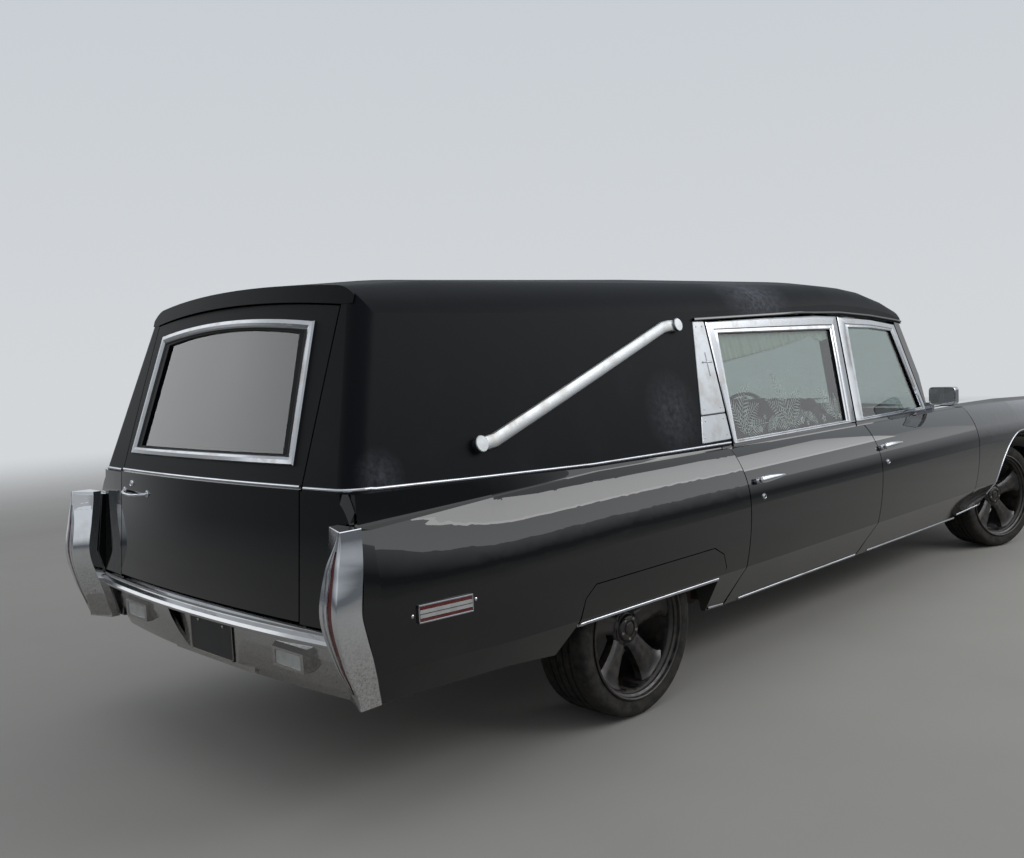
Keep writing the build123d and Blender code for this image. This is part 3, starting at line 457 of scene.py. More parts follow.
def rounded(corners, radius, steps=5):
    """Closed outline with its corners rounded."""
    out = []
    for i, corner in enumerate(corners):
        corner = Vector(corner)
        before = (Vector(corners[i - 1]) - corner).normalized() * radius
        after = (Vector(corners[(i + 1) % len(corners)]) - corner).normalized() * radius
        for k in range(steps + 1):
            t = k / steps
            out.append(corner + before * (1 - t) ** 2 + after * t ** 2)
    return out


def half_round(width, height, sunk=0.002, steps=6):
    """Half-round moulding section."""
    half = width / 2
    turns = [math.pi * k / steps for k in range(steps + 1)]
    arc = [(-half * math.cos(a), height * math.sin(a)) for a in turns]
    return [(-half, -sunk)] + arc + [(half, -sunk)]


def twin_bead(width, height, sunk=0.002):
    """Moulding section with two ridges and a groove between them."""
    half = width / 2
    right = [(0.15, height * 0.35), (0.35, height), (0.8, height), (1, height * 0.3), (1, -sunk)]
    left = [(-share, rise) for share, rise in reversed(right)]
    return [(half * share, rise) for share, rise in left + right]


def box_skin(low, high, edge=0.001):
    """Block with its edges taken off, between two corners."""
    (x0, y0, z0), (x1, y1, z1) = low, high
    rings = []
    for x, shrink in ((x0, edge), (x0 + edge, 0.0), (x1 - edge, 0.0), (x1, edge)):
        a, b, c, d = y0 + shrink, y1 - shrink, z0 + shrink, z1 - shrink
        ring = ((a + edge, c), (b - edge, c), (b, c + edge), (b, d - edge),
                (b - edge, d), (a + edge, d), (a, d - edge), (a, c + edge))
        rings.append([Vector((x, y, z)) for y, z in ring])
    return skin(rings)


# Where the trim lies on the CAD model
trees = {}


def touch(cad_nodes, start, heading):
    """First point and outward normal where a ray meets any of the named CAD nodes."""
    best = None
    for name in cad_nodes:
        if name not in trees:
            mesh = frame["nodes"][name].data
            trees[name] = BVHTree.FromPolygons([v.co for v in mesh.vertices],
                                               [tuple(f.vertices) for f in mesh.polygons])
        point, normal, _, distance = trees[name].ray_cast(Vector(start), Vector(heading).normalized())
        if point is not None and (best is None or distance < best[2]):
            best = (point, normal if normal.dot(Vector(heading)) < 0 else -normal, distance)
    return best


def laid_path(cad_nodes, rays):
    """Points and outward normals where a row of rays meets the named CAD nodes."""
    hits = [hit for hit in (touch(cad_nodes, start, heading) for start, heading in rays) if hit]
    return [hit[0] for hit in hits], [hit[1] for hit in hits]


def side_rays(points, count=40):
    """Rays that look in from the left side, evenly spaced along (x, z) points."""
    return [((p.x, beside_car, p.z), (0, -1, 0)) for p in resample([(x, 0, z) for x, z in points], count)]


def moulding(name, cad_node, rays, section, body, material=chrome):
    """Moulding on both sides of the car, laid where rays given for the left side meet a CAD node."""
    for side, sign in sides:
        own_rays = [((x, sign * y, z), (a, sign * b, c)) for (x, y, z), (a, b, c) in rays]
        strip = sweep(*laid_path([cad_node.replace("SIDE", side)], own_rays), section)
        add_piece(f"{name}_{side}", [strip], material, body.replace("SIDE", side))


def on_wall(x, z, sign, out=0.0):
    """Point on the leaning upper wall, or a little outside it."""
    half_width = wall_rear.y - wall_taper * (x - wall_rear.x) - wall_lean * (z - wall_rear.z)
    point = Vector((x, half_width, z)) + wall_normal * out
    return Vector((point.x, sign * point.y, point.z))


def wall_heading(sign):
    """Outward direction of the leaning upper wall."""
    return Vector((wall_normal.x, sign * wall_normal.y, wall_normal.z))


def wall_band(name, outer, inner, profile, body, material):
    """Frame on the leaning wall between two outlines with matching corners.

    Each step of its profile is a share of the way in and a height over the wall.
    """
    pairs = list(zip(walked(outer, 8), walked(inner, 8)))
    for side, sign in sides:
        rings = [[on_wall(*far.lerp(near, share), sign, height) for far, near in pairs]
                 for share, height in profile]
        own_body = body.replace("SIDE", side)
        add_piece(f"{name}_{side}", [skin(rings, looped=True)], material, own_body, sharp=20)


def tail_point(y, z):
    """Point on the tail door and its outward normal, seen from behind."""
    return touch(["tail_door"], (behind_car, y, z), (1, 0, 0))[:2]


# Mouldings along the belt, the sills, the skirts and the wheel arches, and the drip rails
belt_section = half_round(0.012, 0.006)
door_belt_section = twin_bead(0.017, 0.006)
corner_z = 1.057
corner_rays = [((behind_car, y, corner_z), (1, 0, 0)) for y in (0.656, 0.69, 0.72, 0.75)]
for degrees in range(172, 90, -9):
    x, y = math.cos(math.radians(degrees)), math.sin(math.radians(degrees))
    corner_rays.append(((-2.98 + x, 0.80 + y, corner_z), (-x, -y, 0)))
quarter_belt = [(-2.96, 1.054), (-2.480, 1.034), (-1.950, 1.014), (-0.992, 1.003)]
quarter_rays = corner_rays + side_rays(quarter_belt, 30)
moulding("belt_moulding_quarter", "roof_shell", quarter_rays, belt_section, "body")
for end, rear_x, front_x in (("rear", -0.964, 0.216), ("front", 0.240, 1.130)):
    door_rays = side_rays([(rear_x, door_belt_z), (front_x, door_belt_z)])
    moulding(f"belt_moulding_{end}", f"door_{end}_SIDE", door_rays, door_belt_section, f"door_{end}_SIDE")
rocker_section = half_round(0.014, 0.005)
for name, cad_node, low, high, body in (
        ("rocker_strip_quarter", "quarter_panels", (-1.196, 0.300), (-1.068, 0.289), "body"),
        ("rocker_strip_rear", "door_rear_SIDE", (-1.054, 0.289), (0.184, 0.289), "door_rear_SIDE"),
        ("rocker_strip_front", "door_front_SIDE", (0.204, 0.289), (1.491, 0.289), "door_front_SIDE"),
        ("rocker_strip_fender", "front_fenders", (1.508, 0.307), (1.800, 0.327), "body")):
    moulding(name, cad_node, side_rays([low, high], 12), rocker_section, body)
skirt_rays = side_rays([(-2.168, 0.463), (-1.270, 0.455)])
moulding("skirt_trim", "wheel_skirts", skirt_rays, half_round(0.016, 0.005), "body")
arch_lip_radius = 0.436
arch_turns = [math.radians(8 + 164 * k / 30) for k in range(31)]
arch_points = [(front_axle.x + arch_lip_radius * math.cos(a), front_axle.z + arch_lip_radius * math.sin(a))
               for a in arch_turns]
moulding("arch_lip", "front_fenders", side_rays(arch_points, 60), half_round(0.010, 0.004), "body")
gutter = [(-0.006, -0.004), (-0.006, 0.010), (-0.003, 0.013), (0.003, 0.013), (0.006, 0.010),
          (0.006, -0.004)]
rail_points = [(-1.060, 1.552), (-0.640, 1.563), (-0.083, 1.578), (0.343, 1.577), (0.697, 1.558),
               (1.035, 1.528), (1.100, 1.519)]
moulding("drip_rail", "roof_shell", side_rays(rail_points, 60), gutter, "body", enamel)

# Bright surrounds of the side windows
frame_profile = [(0.0, -0.001), (0.0, 0.004), (0.10, 0.007), (0.62, 0.007), (0.70, 0.004), (0.92, 0.005),
                 (1.0, 0.002), (1.0, -0.001)]
wall_band("window_surround_rear",
          [(-0.969, 1.0), (-0.969, 1.541), (-0.500, 1.552), (0.060, 1.560), (0.297, 1.555), (0.221, 1.0)],
          [(-0.941, 1.004), (-0.886, 1.488), (-0.480, 1.488), (0.040, 1.488), (0.200, 1.488),
           (0.125, 1.004)],
          frame_profile, "door_rear_SIDE", bright_metal)
wall_band("window_surround_front",
          [(0.236, 1.0), (0.313, 1.554), (0.700, 1.535), (1.000, 1.503), (1.142, 1.0)],
          [(0.327, 1.004), (0.414, 1.494), (0.700, 1.486), (0.943, 1.466), (1.085, 1.004)],
          frame_profile, "door_front_SIDE", bright_metal)

# Bright cover of the rear pillar, in two sheets with a seam, rivets and a small plain cross
cover_front = -0.981
cover_sheets = [((-1.209, 1.018), (cover_front, 1.018), (cover_front, 1.132), (-1.171, 1.132)),
                ((-1.170, 1.135), (cover_front, 1.135), (cover_front, 1.545), (-1.066, 1.545))]
cover_height = 0.004
for number, corners in enumerate(cover_sheets):
    outline = rounded(corners, 0.006, 3)
    middle = sum(outline, Vector((0, 0))) / len(outline)
    for side, sign in sides:
        rings = [[on_wall(*(p + (middle - p).normalized() * shrink), sign, height) for p in outline]
                 for shrink, height in ((0.0, -0.001), (0.0, 0.002), (0.004, cover_height))]
        add_piece(f"pillar_cover_{number}_{side}", [skin(rings)], pillar_metal, "body", sharp=25)
rivet_places = [(-1.182, 1.040), (-1.010, 1.040), (-1.150, 1.112), (-1.010, 1.112), (-1.140, 1.160),
                (-1.010, 1.160), (-1.052, 1.520), (-1.006, 1.520)]
rivet_head = [(0.0, 0.0028), (0.0022, 0.0024), (0.0036, 0.0012), (0.004, 0.0), (0.004, -0.002),
              (0.0, -0.002)]
cross_bars = [((-1.029, 1.405), (-1.029, 1.300)), ((-1.066, 1.362), (-0.992, 1.362))]
for side, sign in sides:
    out = wall_heading(sign)
    skins = []
    for x, z in rivet_places:
        skins += moved([turned(rivet_head, 12)], standing(on_wall(x, z, sign, cover_height), out))
    for low, high in cross_bars:
        stops = [Vector(low).lerp(Vector(high), share) for share in (0.0, 0.5, 1.0)]
        path = [on_wall(*stop, sign, cover_height) for stop in stops]
        skins.append(sweep(path, [out] * 3, half_round(0.008, 0.004, 0.001)))
    add_piece(f"pillar_rivets_and_cross_{side}", skins, chrome, "body")

# Landau bars: a flattened S with a round boss at each end
bar_path = [(-2.512, 1.1405), (-2.470, 1.143), (-2.428, 1.1485), (-2.05, 1.272), (-1.68, 1.395),
            (-1.308, 1.5195), (-1.262, 1.526), (-1.205, 1.5265)]
bar_section = [(-0.025, 0.002), (-0.025, 0.009), (-0.0215, 0.0145), (-0.012, 0.0170), (0.012, 0.0170),
               (0.0215, 0.0145), (0.025, 0.009), (0.025, 0.002)]
boss = [(0.0, 0.0272), (0.0262, 0.0268), (0.0290, 0.0245), (0.0290, 0.0170), (0.0240, 0.0150),
        (0.0240, -0.001), (0.0, -0.001)]
skins = []
for _, sign in sides:
    out = wall_heading(sign)
    skins.append(sweep([on_wall(x, z, sign) for x, z in bar_path], [out] * len(bar_path), bar_section))
    for x, z in ((-2.505, 1.141), (-1.212, 1.526)):
        skins += moved([turned(boss, 36)], standing(on_wall(x, z, sign), out))
landau = add_piece("landau_bars_dressed", skins, worn_silver, "body", sharp=16)
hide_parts("landau_bars")

# Tail door: belt moulding, and the surround and rubber seal of its arched window
tail_belt = [((behind_car, p.y, p.z), (1, 0, 0))
             for p in resample([(0, -0.636, tail_belt_z), (0, 0.636, tail_belt_z)], 40)]
strip = sweep(*laid_path(["tail_door"], tail_belt), belt_section)
add_piece("belt_moulding_tail", [strip], chrome, "tail_door")
tail_arch = 0.031
tail_rake = 0.3265
tail_out = Vector((-0.95, 0, 0.31))


def tail_loop(low_y, low_z, high_y, high_z, count=16):
    """Outline of the tail window: bottom, sides, and a top raised by an arch in the middle."""
    shares = [k / count for k in range(count)]
    loop = [(low_y * (1 - 2 * t), low_z) for t in shares]
    loop += [(-low_y + (low_y - high_y) * t, low_z + (high_z - low_z) * t) for t in shares]
    loop += [(-high_y + 2 * high_y * t, high_z + tail_arch * (1 - (1 - 2 * t) ** 2)) for t in shares]
    loop += [(high_y + (low_y - high_y) * t, high_z + (low_z - high_z) * t) for t in shares]
    return loop


def tail_window_band(name, outer, inner, profile, material):
    """Frame round the tail window between two loops, shaped by (share, height) steps."""
    rings = []
    for share, height in profile:
        ring = []
        for (y0, z0), (y1, z1) in zip(outer, inner):
            y, z = y0 + (y1 - y0) * share, z0 + (z1 - z0) * share
            x = tail_point(y0, z0)[0].x + (z - z0) * tail_rake
            ring.append(Vector((x, y, z)) + tail_out * height)
        rings.append(ring)
    add_piece(name, [skin(rings, looped=True)], material, "tail_door", sharp=22)


outer_loop = tail_loop(0.583, 1.122, 0.537, 1.580)
bright_loop = tail_loop(0.551, 1.150, 0.506, 1.551)
glass_loop = tail_loop(0.512, 1.158, 0.464, 1.542)
tail_window_band("tail_window_surround", outer_loop, bright_loop,
                 [(0.0, -0.003), (0.0, 0.004), (0.12, 0.010), (0.55, 0.012), (0.85, 0.009), (1.0, 0.004),
                  (1.0, -0.003)], bright_metal)
tail_window_band("tail_window_seal", bright_loop, glass_loop,
                 [(-0.1, -0.003), (-0.1, 0.003), (0.2, 0.004), (0.45, 0.001), (0.9, -0.004), (1.0, -0.012),
                  (0.9, -0.014)], flat_black_and_slot_shade)

# Door pulls with two feet on an escutcheon, and the key lock below each
pull_rows = ((-0.004, 0.005, 0.007, 0.020), (0.0, 0.012, 0.012, 0.020), (0.012, 0.0155, 0.016, 0.021),
             (0.055, 0.0160, 0.017, 0.023), (0.100, 0.0125, 0.014, 0.027), (0.145, 0.0085, 0.009, 0.031),
             (0.178, 0.0050, 0.005, 0.034), (0.186, 0.0015, 0.002, 0.034))
pull_foot = [(0.0, 0.026), (0.0065, 0.026), (0.0065, 0.006), (0.010, 0.002), (0.010, -0.004), (0.0, -0.004)]
key_lock = [(0.0, 0.0060), (0.0055, 0.0060), (0.0060, 0.0050), (0.0068, 0.0050), (0.0095, 0.0062),
            (0.0115, 0.0045), (0.0130, 0.0010), (0.0130, -0.004), (0.0, -0.004)]


def pull_skin(points=14):
    """Wing-shaped pull: X runs forward along the door, Y up and Z out of it."""
    rings = []
    turns = [2 * math.pi * k / points for k in range(points)]
    for x, half, thick, lift in pull_rows:
        rings.append([Vector((x, half * math.cos(a), lift + thick * (0.5 + 0.5 * math.sin(a))))
                      for a in turns])
    return skin(rings)


def on_door(cad_node, x, z, sign):
    """Placement on a door's skin with X forward and Z out of it."""
    point, normal = touch([cad_node], (x, sign * beside_car, z), (0, -sign, 0))[:2]
    out = Vector((0, normal.y, normal.z)).normalized()
    along = Vector((1, 0, 0))
    place = Matrix((along, out.cross(along), out)).transposed().to_4x4()
    place.translation = point
    return place


pull_reach = 0.03
for end, (pull_x, pull_z), (lock_x, lock_z) in (("front", (0.226, 0.862), (0.262, 0.786)),
                                                ("rear", (-0.992, 0.838), (-0.956, 0.768))):
    for side, sign in sides:
        door = f"door_{end}_{side}"
        place = on_door(door, pull_x + pull_reach, pull_z, sign) @ Matrix.Translation((-pull_reach, 0, 0))
        lock_place = on_door(door, lock_x, lock_z, sign)
        skins = [pull_skin(), box_skin((-0.002, -0.013, -0.006), (0.070, 0.013, 0.003))]
        for x in (0.012, 0.056):
            skins += moved([turned(pull_foot, 16)], Matrix.Translation((x, 0, 0)))
        add_piece(f"door_pull_{end}_{side}", moved(skins, place) + moved([turned(key_lock, 28)], lock_place),
                  chrome, door, sharp=32)
        # A thin black plate on the lock's face is painted shade for its keyway
        keyway_shade = box_skin((-0.0008, -0.004, 0.0058), (0.0008, 0.004, 0.0064), 0.0002)
        add_piece(f"keyway_shade_{end}_{side}", moved([keyway_shade], lock_place), flat_black_and_slot_shade, door)

# Tail door pull, a bowed bar on two round feet, and its lock
tail_pull_y, tail_pull_length, tail_pull_radius = 0.605, 0.225, 0.0055
path, outward = [], []
for k in range(13):
    bow = 2 * k / 12 - 1
    point, normal = tail_point(tail_pull_y - tail_pull_length * k / 12, 0.968 + 0.010 * bow ** 2)
    path.append(point + normal * (0.030 * (1 - bow ** 6) - 0.004))
    outward.append(normal)
bar_turns = [2 * math.pi * k / 10 for k in range(10)]
round_bar = [(tail_pull_radius * math.cos(a), tail_pull_radius * math.sin(a)) for a in bar_turns]
skins = [sweep(path, outward, round_bar)]
skins += moved([turned(key_lock, 28)], standing(*tail_point(0.530, 1.010)))
tail_foot = [(0.0, 0.006), (0.010, 0.0055), (0.014, 0.002), (0.014, -0.003), (0.0, -0.003)]
for y in (tail_pull_y, tail_pull_y - tail_pull_length):
    skins += moved([turned(tail_foot, 20)], standing(*tail_point(y, 0.978)))
add_piece("tail_door_pull", skins, chrome, "tail_door", sharp=32)

# Side marker lamps: bright rim, pale band across the middle with a dark line, and a screw at each end
marker_corners = [(-2.918, 0.700), (-2.700, 0.692), (-2.700, 0.640), (-2.918, 0.648)]
marker_y = 0.9905
marker_fall = -0.0377
rim_section = [(-0.0025, -0.004), (-0.0025, 0.0078), (-0.001, 0.0090), (0.001, 0.0090), (0.0025, 0.0078),
               (0.0025, -0.004)]
marker_screw = [(0.0, 0.0035), (0.0035, 0.0030), (0.0058, 0.0012), (0.0062, -0.003), (0.0, -0.003)]
for side, sign in sides:
    out = Vector((0, sign, 0))
    path = [Vector((p.x, sign * marker_y, p.y)) for p in walked(marker_corners, 6)]
    skins = [sweep(path, [out] * len(path), rim_section, closed=True)]
    for x in (-2.938, -2.680):
        skins += moved([turned(marker_screw, 16)], standing((x, sign * 0.9900, 0.672), out))
    add_piece(f"marker_rim_{side}", skins, chrome, "body")
    for name, half, front, material in (("marker_pale_band", 0.0125, 0.0084, clear_lens),
                                        ("marker_dividing_line", 0.0009, 0.0092, flat_black_and_slot_shade)):
        rings = []
        for x in (-2.915, -2.703):
            middle = 0.674 + (x + 2.915) * marker_fall
            rings.append([Vector((x, sign * (marker_y + depth), middle + rise)) for rise, depth in
                          ((half, -0.002), (half, front), (-half, front), (-half, -0.002))])
        add_piece(f"{name}_{side}", [skin(rings)], material, "body")

# Blank number plate in the bumper's recess, with its rolled edge and two screws
plate_rear = -3.0785
backward = Vector((-1, 0, 0))
plate_block = box_skin((plate_rear, -0.1525, 0.413), (-3.0740, 0.1525, 0.565), 0.0006)
add_piece("number_plate_blank", [plate_block], plate_paint, "body")
outline = rounded([(-0.150, 0.4155), (0.150, 0.4155), (0.150, 0.5625), (-0.150, 0.5625)], 0.012, 4)
path = [Vector((plate_rear + 0.0003, p.x, p.y)) for p in outline]
skins = [sweep(path, [backward] * len(path), half_round(0.005, 0.0022, 0.001, 4), closed=True)]
plate_screw = [(0.0, 0.0042), (0.004, 0.0038), (0.0068, 0.0015), (0.0072, -0.002), (0.0, -0.002)]
for y in (-0.089, 0.089):
    skins += moved([turned(plate_screw, 16)], standing((plate_rear, y, 0.530), backward))
add_piece("number_plate_rim_and_screws", skins, nut_steel, "body")

# Etched spray of fern leaves and small flowers on the rear door glass
glass_set_back = -0.0089
leaf_outline = [(0.0, 0.06), (0.3, 0.5), (0.6, 0.42), (1.0, 0.0), (0.6, -0.42), (0.3, -0.5), (0.0, -0.06)]


def glass_chip(points, sign):
    """Thin raised shape on the rear door glass from (x, z) points."""
    rings = [[on_wall(x, z, sign, glass_set_back + rise) for x, z in points] for rise in (-0.0001, 0.0004)]
    return skin(rings)


def pointing(turn):
    """Directions along and across a turn in the glass."""
    return Vector((math.cos(turn), math.sin(turn))), Vector((-math.sin(turn), math.cos(turn)))


def leaf_chip(base, turn, length, width, sign):
    """One pointed leaf."""
    ahead, aside = pointing(turn)
    return glass_chip([tuple(base + ahead * length * a + aside * width * b) for a, b in leaf_outline], sign)


def frond_chips(point, turn, length, bend, sign, leaves=11):
    """Curved stem with pairs of leaflets that shrink towards its tip."""
    chips = []
    step = length / leaves
    for k in range(leaves):
        ahead, aside = pointing(turn)
        aside *= 0.0011
        far = point + ahead * step * 1.02
        stem = (point - aside, far - aside * 0.8, far + aside * 0.8, point + aside)
        chips.append(glass_chip([tuple(corner) for corner in stem], sign))
        size = length * 0.26 * math.sin(math.pi * (0.16 + 0.80 * (k + 0.5) / leaves)) + 0.003
        for way in (1, -1):
            chips.append(leaf_chip(point + ahead * step * 0.5, turn + way * 0.95, size, size * 0.13, sign))
        point, turn = far, turn + bend / leaves
    chips.append(leaf_chip(point, turn, step * 1.1, step * 0.35, sign))
    return chips


def flower_chips(middle, size, start, sign, petals=5):
    """Open flower of pointed petals."""
    chips = []
    for k in range(petals):
        turn = start + 2 * math.pi * k / petals
        base = middle + pointing(turn)[0] * size * 0.18
        chips.append(leaf_chip(base, turn, size * 0.8, size * 0.55, sign))
    return chips


# Fronds are root x and z, starting turn, length and bend. Flowers are x, z and size
fronds = [(-0.845, 1.030, 1.45, 0.235, -0.8), (-0.835, 1.026, 1.00, 0.200, -0.7),
          (-0.850, 1.030, 1.75, 0.180, 0.5), (-0.820, 1.024, 0.45, 0.180, -0.5),
          (-0.420, 1.026, 1.62, 0.255, 0.5), (-0.412, 1.024, 1.15, 0.220, -0.7),
          (-0.428, 1.024, 2.05, 0.210, 0.8), (-0.405, 1.022, 0.60, 0.170, -0.5),
          (-0.440, 1.022, 2.60, 0.160, 0.5), (0.045, 1.026, 1.75, 0.190, 0.9),
          (0.060, 1.024, 2.25, 0.175, 0.7), (0.070, 1.028, 1.35, 0.120, 0.3),
          (-0.150, 1.022, 2.45, 0.120, 0.5), (-0.640, 1.022, 0.70, 0.120, -0.5)]
flowers = [(-0.755, 1.062, 0.024), (-0.700, 1.040, 0.019), (-0.575, 1.044, 0.022), (-0.535, 1.076, 0.016),
           (-0.300, 1.050, 0.023), (-0.250, 1.034, 0.016), (-0.205, 1.066, 0.021), (-0.080, 1.040, 0.022),
           (-0.020, 1.070, 0.017), (0.095, 1.040, 0.017), (-0.640, 1.092, 0.014), (-0.480, 1.040, 0.017)]
for side, sign in sides:
    chips = []
    for x, z, turn, length, bend in fronds:
        chips += frond_chips(Vector((x, z)), turn, length, bend, sign)
    for x, z, size in flowers:
        chips += flower_chips(Vector((x, z)), size, x * 9, sign)
    add_piece(f"etched_ferns_{side}", chips, etched_frost, f"door_rear_{side}", sharp=60)

# Pale curtain tied up inside the top of the rear door window
curtain_rear, curtain_width, curtain_top = -0.935, 1.150, 1.500
curtain_set_back = -0.026
knot_x = 0.015


def curtain_drop(x):
    """How far the hem hangs below the window's top at a station."""
    if x < knot_x:
        return 0.030 + 0.115 * ((knot_x - x) / 0.93) ** 0.75
    return 0.030 + 0.035 * math.sin(math.pi * min(1.0, (x - knot_x) / 0.22))


def curtain_skin(sign, rows=12, columns=150):
    """Gathered cloth whose folds deepen towards the hem and flatten at the knot."""
    vertices, faces = [], []
    for i in range(rows + 1):
        share = i / rows
        for j in range(columns + 1):
            x = curtain_rear + curtain_width * j / columns
            wave = 0.0055 * math.sin(x * 150) + 0.003 * math.sin(x * 67 + 1.3)
            fold = wave * (0.35 + 0.65 * share) * (1 - 0.5 * math.exp(-((x - knot_x) / 0.05) ** 2))
            vertices.append(on_wall(x, curtain_top - curtain_drop(x) * share, sign, curtain_set_back + fold))
    for i in range(rows):
        for j in range(columns):
            a = i * (columns + 1) + j
            faces.append((a, a + 1, a + columns + 2, a + columns + 1))
    return vertices, faces


for side, sign in sides:
    curtain = add_piece(f"window_curtain_{side}", [curtain_skin(sign)], curtain_cloth, f"door_rear_{side}",
                        sharp=80)
    cloth = curtain.modifiers.new("thickness", "SOLIDIFY")
    cloth.thickness = 0.0008

# Rear bumper's upright end caps, bowed smoothly, with a lamp channel and a narrow groove in the rear face.
# The rows are height, rear x, outer y, inner y, front x and the y of the car's side
cap_rows = [(0.428, -3.122, 0.960, 0.950, -3.048, 0.958), (0.570, -3.170, 0.971, 0.912, -3.085, 0.983),
            (0.712, -3.200, 0.979, 0.894, -3.121, 0.990), (0.850, -3.180, 0.971, 0.908, -3.101, 0.981),
            (0.957, -3.162, 0.965, 0.958, -3.086, 0.963)]
cap_over = 0.0015
cap_inner_y = 0.8485


def cap_measures(z):
    """Measures of the cap at a height, on a smooth curve through its rows."""
    k = max(i for i in range(len(cap_rows) - 1) if cap_rows[i][0] <= z + 1e-9)
    low, high = cap_rows[k], cap_rows[k + 1]
    before, after = cap_rows[max(k - 1, 0)], cap_rows[min(k + 2, len(cap_rows) - 1)]
    t = (z - low[0]) / (high[0] - low[0])
    out = []
    for a, b, c, d in zip(before, low, high, after):
        bend = (2 * a - 5 * b + 4 * c - d) * t * t + (3 * b - a - 3 * c + d) * t ** 3
        out.append(0.5 * (2 * b + (c - a) * t + bend))
    return out


def cap_ring(z, sign, shrink=0.0):
    """Section of the cap at a height, from its front round the side, the channel and the groove."""
    _, rear, outer, inner, front, side_y = cap_measures(min(max(z, cap_rows[0][0]), cap_rows[-1][0]))
    rear = rear - 0.002 + shrink
    outer, inner, side_y = outer + cap_over - shrink, inner - cap_over + shrink, side_y + cap_over - shrink
    width = outer - inner
    channel_out, channel_in = outer - 0.30 * width, outer - 0.54 * width
    groove_out, groove_in = outer - 0.69 * width, outer - 0.79 * width
    deep = min(0.009, width * 0.4)
    points = [(front, side_y), (rear + 0.004, outer + 0.0003), (rear + 0.001, outer - 0.0015),
              (rear, outer - min(0.004, width * 0.2)), (rear, channel_out + width * 0.02),
              (rear + deep, channel_out), (rear + deep, channel_in), (rear, channel_in - width * 0.02),
              (rear, groove_out + width * 0.01), (rear + deep * 0.5, groove_out),
              (rear + deep * 0.5, groove_in), (rear, groove_in - width * 0.01),
              (rear + 0.0005, inner + min(0.002, width * 0.1)), (rear + 0.0025, inner),
              (front - 0.032, cap_inner_y), (front, cap_inner_y)]
    return [Vector((x, sign * y, z)) for x, y in points]


def lens_ring(z, sign):
    """Section of the red lens that stands in the cap's channel."""
    _, rear, outer, inner, _, _ = cap_measures(z)
    width = outer - inner + 2 * cap_over
    high, low = outer + cap_over - 0.305 * width, outer + cap_over - 0.535 * width
    points = ((rear + 0.009, high), (rear + 0.003, high), (rear + 0.0015, high - 0.001),
              (rear + 0.0015, low + 0.001), (rear + 0.003, low), (rear + 0.009, low))
    return [Vector((x, sign * y, z)) for x, y in points]


cap_low, cap_high, lens_low, lens_high = 0.4265, 0.9585, 0.482, 0.903
for side, sign in sides:
    rings = [cap_ring(cap_low + (cap_high - cap_low) * k / 30, sign) for k in range(31)]
    rings = [cap_ring(0.4250, sign, 0.0025)] + rings + [cap_ring(0.9605, sign, 0.0025)]
    add_piece(f"bumper_cap_{side}", [skin(rings)], cap_chrome, "body", sharp=24)
    rings = [lens_ring(lens_low + (lens_high - lens_low) * k / 24, sign) for k in range(25)]
    lens = add_piece(f"tail_lens_{side}", [skin(rings)], red_lens, "body", sharp=30)
    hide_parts("tail_lamps")

# Front bench: soft cushion and back with rolled edges and pressed channels, on two plinths
bench_half_width, channel_pitch, channel_depth = 0.618, 0.112, 0.010
end_roll, end_drop = 0.035, 0.022
cushion_outline = [(0.300, 0.505), (0.318, 0.600), (0.790, 0.640), (0.852, 0.600), (0.846, 0.520),
                   (0.800, 0.480)]
back_outline = [(0.206, 0.520), (0.318, 0.600), (0.322, 0.640), (0.236, 1.095), (0.205, 1.128),
                (0.160, 1.122), (0.154, 1.080)]


def bench_pad(outline, steps=84):
    """Padded block along Y with a rounded outline, pinched along its channels and rounded at its ends."""
    curve = rounded(outline, 0.030, 5)
    middle = sum(curve, Vector((0, 0))) / len(curve)
    rings = []
    for k in range(steps + 1):
        y = -bench_half_width + 2 * bench_half_width * k / steps
        end = min(1.0, (bench_half_width - abs(y)) / end_roll)
        pinch = channel_depth * (1 - abs(math.sin(math.pi * y / channel_pitch))) ** 3
        pull = pinch + end_drop * (1 - math.sqrt(max(0.0, 1 - (1 - end) ** 2)))
        pulled = [p + (middle - p).normalized() * pull for p in curve]
        rings.append([Vector((p.x, y, p.y)) for p in pulled])
    return skin(rings)


skins = [bench_pad(cushion_outline), bench_pad(back_outline)]
for low_y, high_y in ((-0.600, -0.125), (0.125, 0.600)):
    skins.append(box_skin((0.300, low_y, 0.346), (0.745, high_y, 0.510), 0.004))
bench = add_piece("front_bench_padded", skins, vinyl, "body", sharp=50)
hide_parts("bench_seat")

# Door mirrors: bright rim round the silvered glass that faces back
mirror_rear_x = 1.0385
mirror_rim_section = [(-0.003, -0.003), (-0.003, 0.003), (-0.001, 0.0055), (0.002, 0.0055), (0.004, 0.003),
                      (0.004, -0.003)]
for side, sign in sides:
    outline = rounded([(0.886, 1.029), (1.030, 1.029), (1.030, 1.127), (0.886, 1.127)], 0.020, 4)
    path = [Vector((mirror_rear_x, sign * p.x, p.y)) for p in outline]
    rim = sweep(path, [backward] * len(path), mirror_rim_section, closed=True)
    add_piece(f"mirror_rim_{side}", [rim], chrome, f"door_front_{side}", sharp=40)
    inner = rounded([(0.888, 1.031), (1.028, 1.031), (1.028, 1.125), (0.888, 1.125)], 0.018, 4)
    rings = [[Vector((mirror_rear_x + depth, sign * p.x, p.y)) for p in inner]
             for depth in (0.0005, -0.0020)]
    add_piece(f"mirror_glass_{side}", [skin(rings)], mirror_silver, f"door_front_{side}", sharp=40)

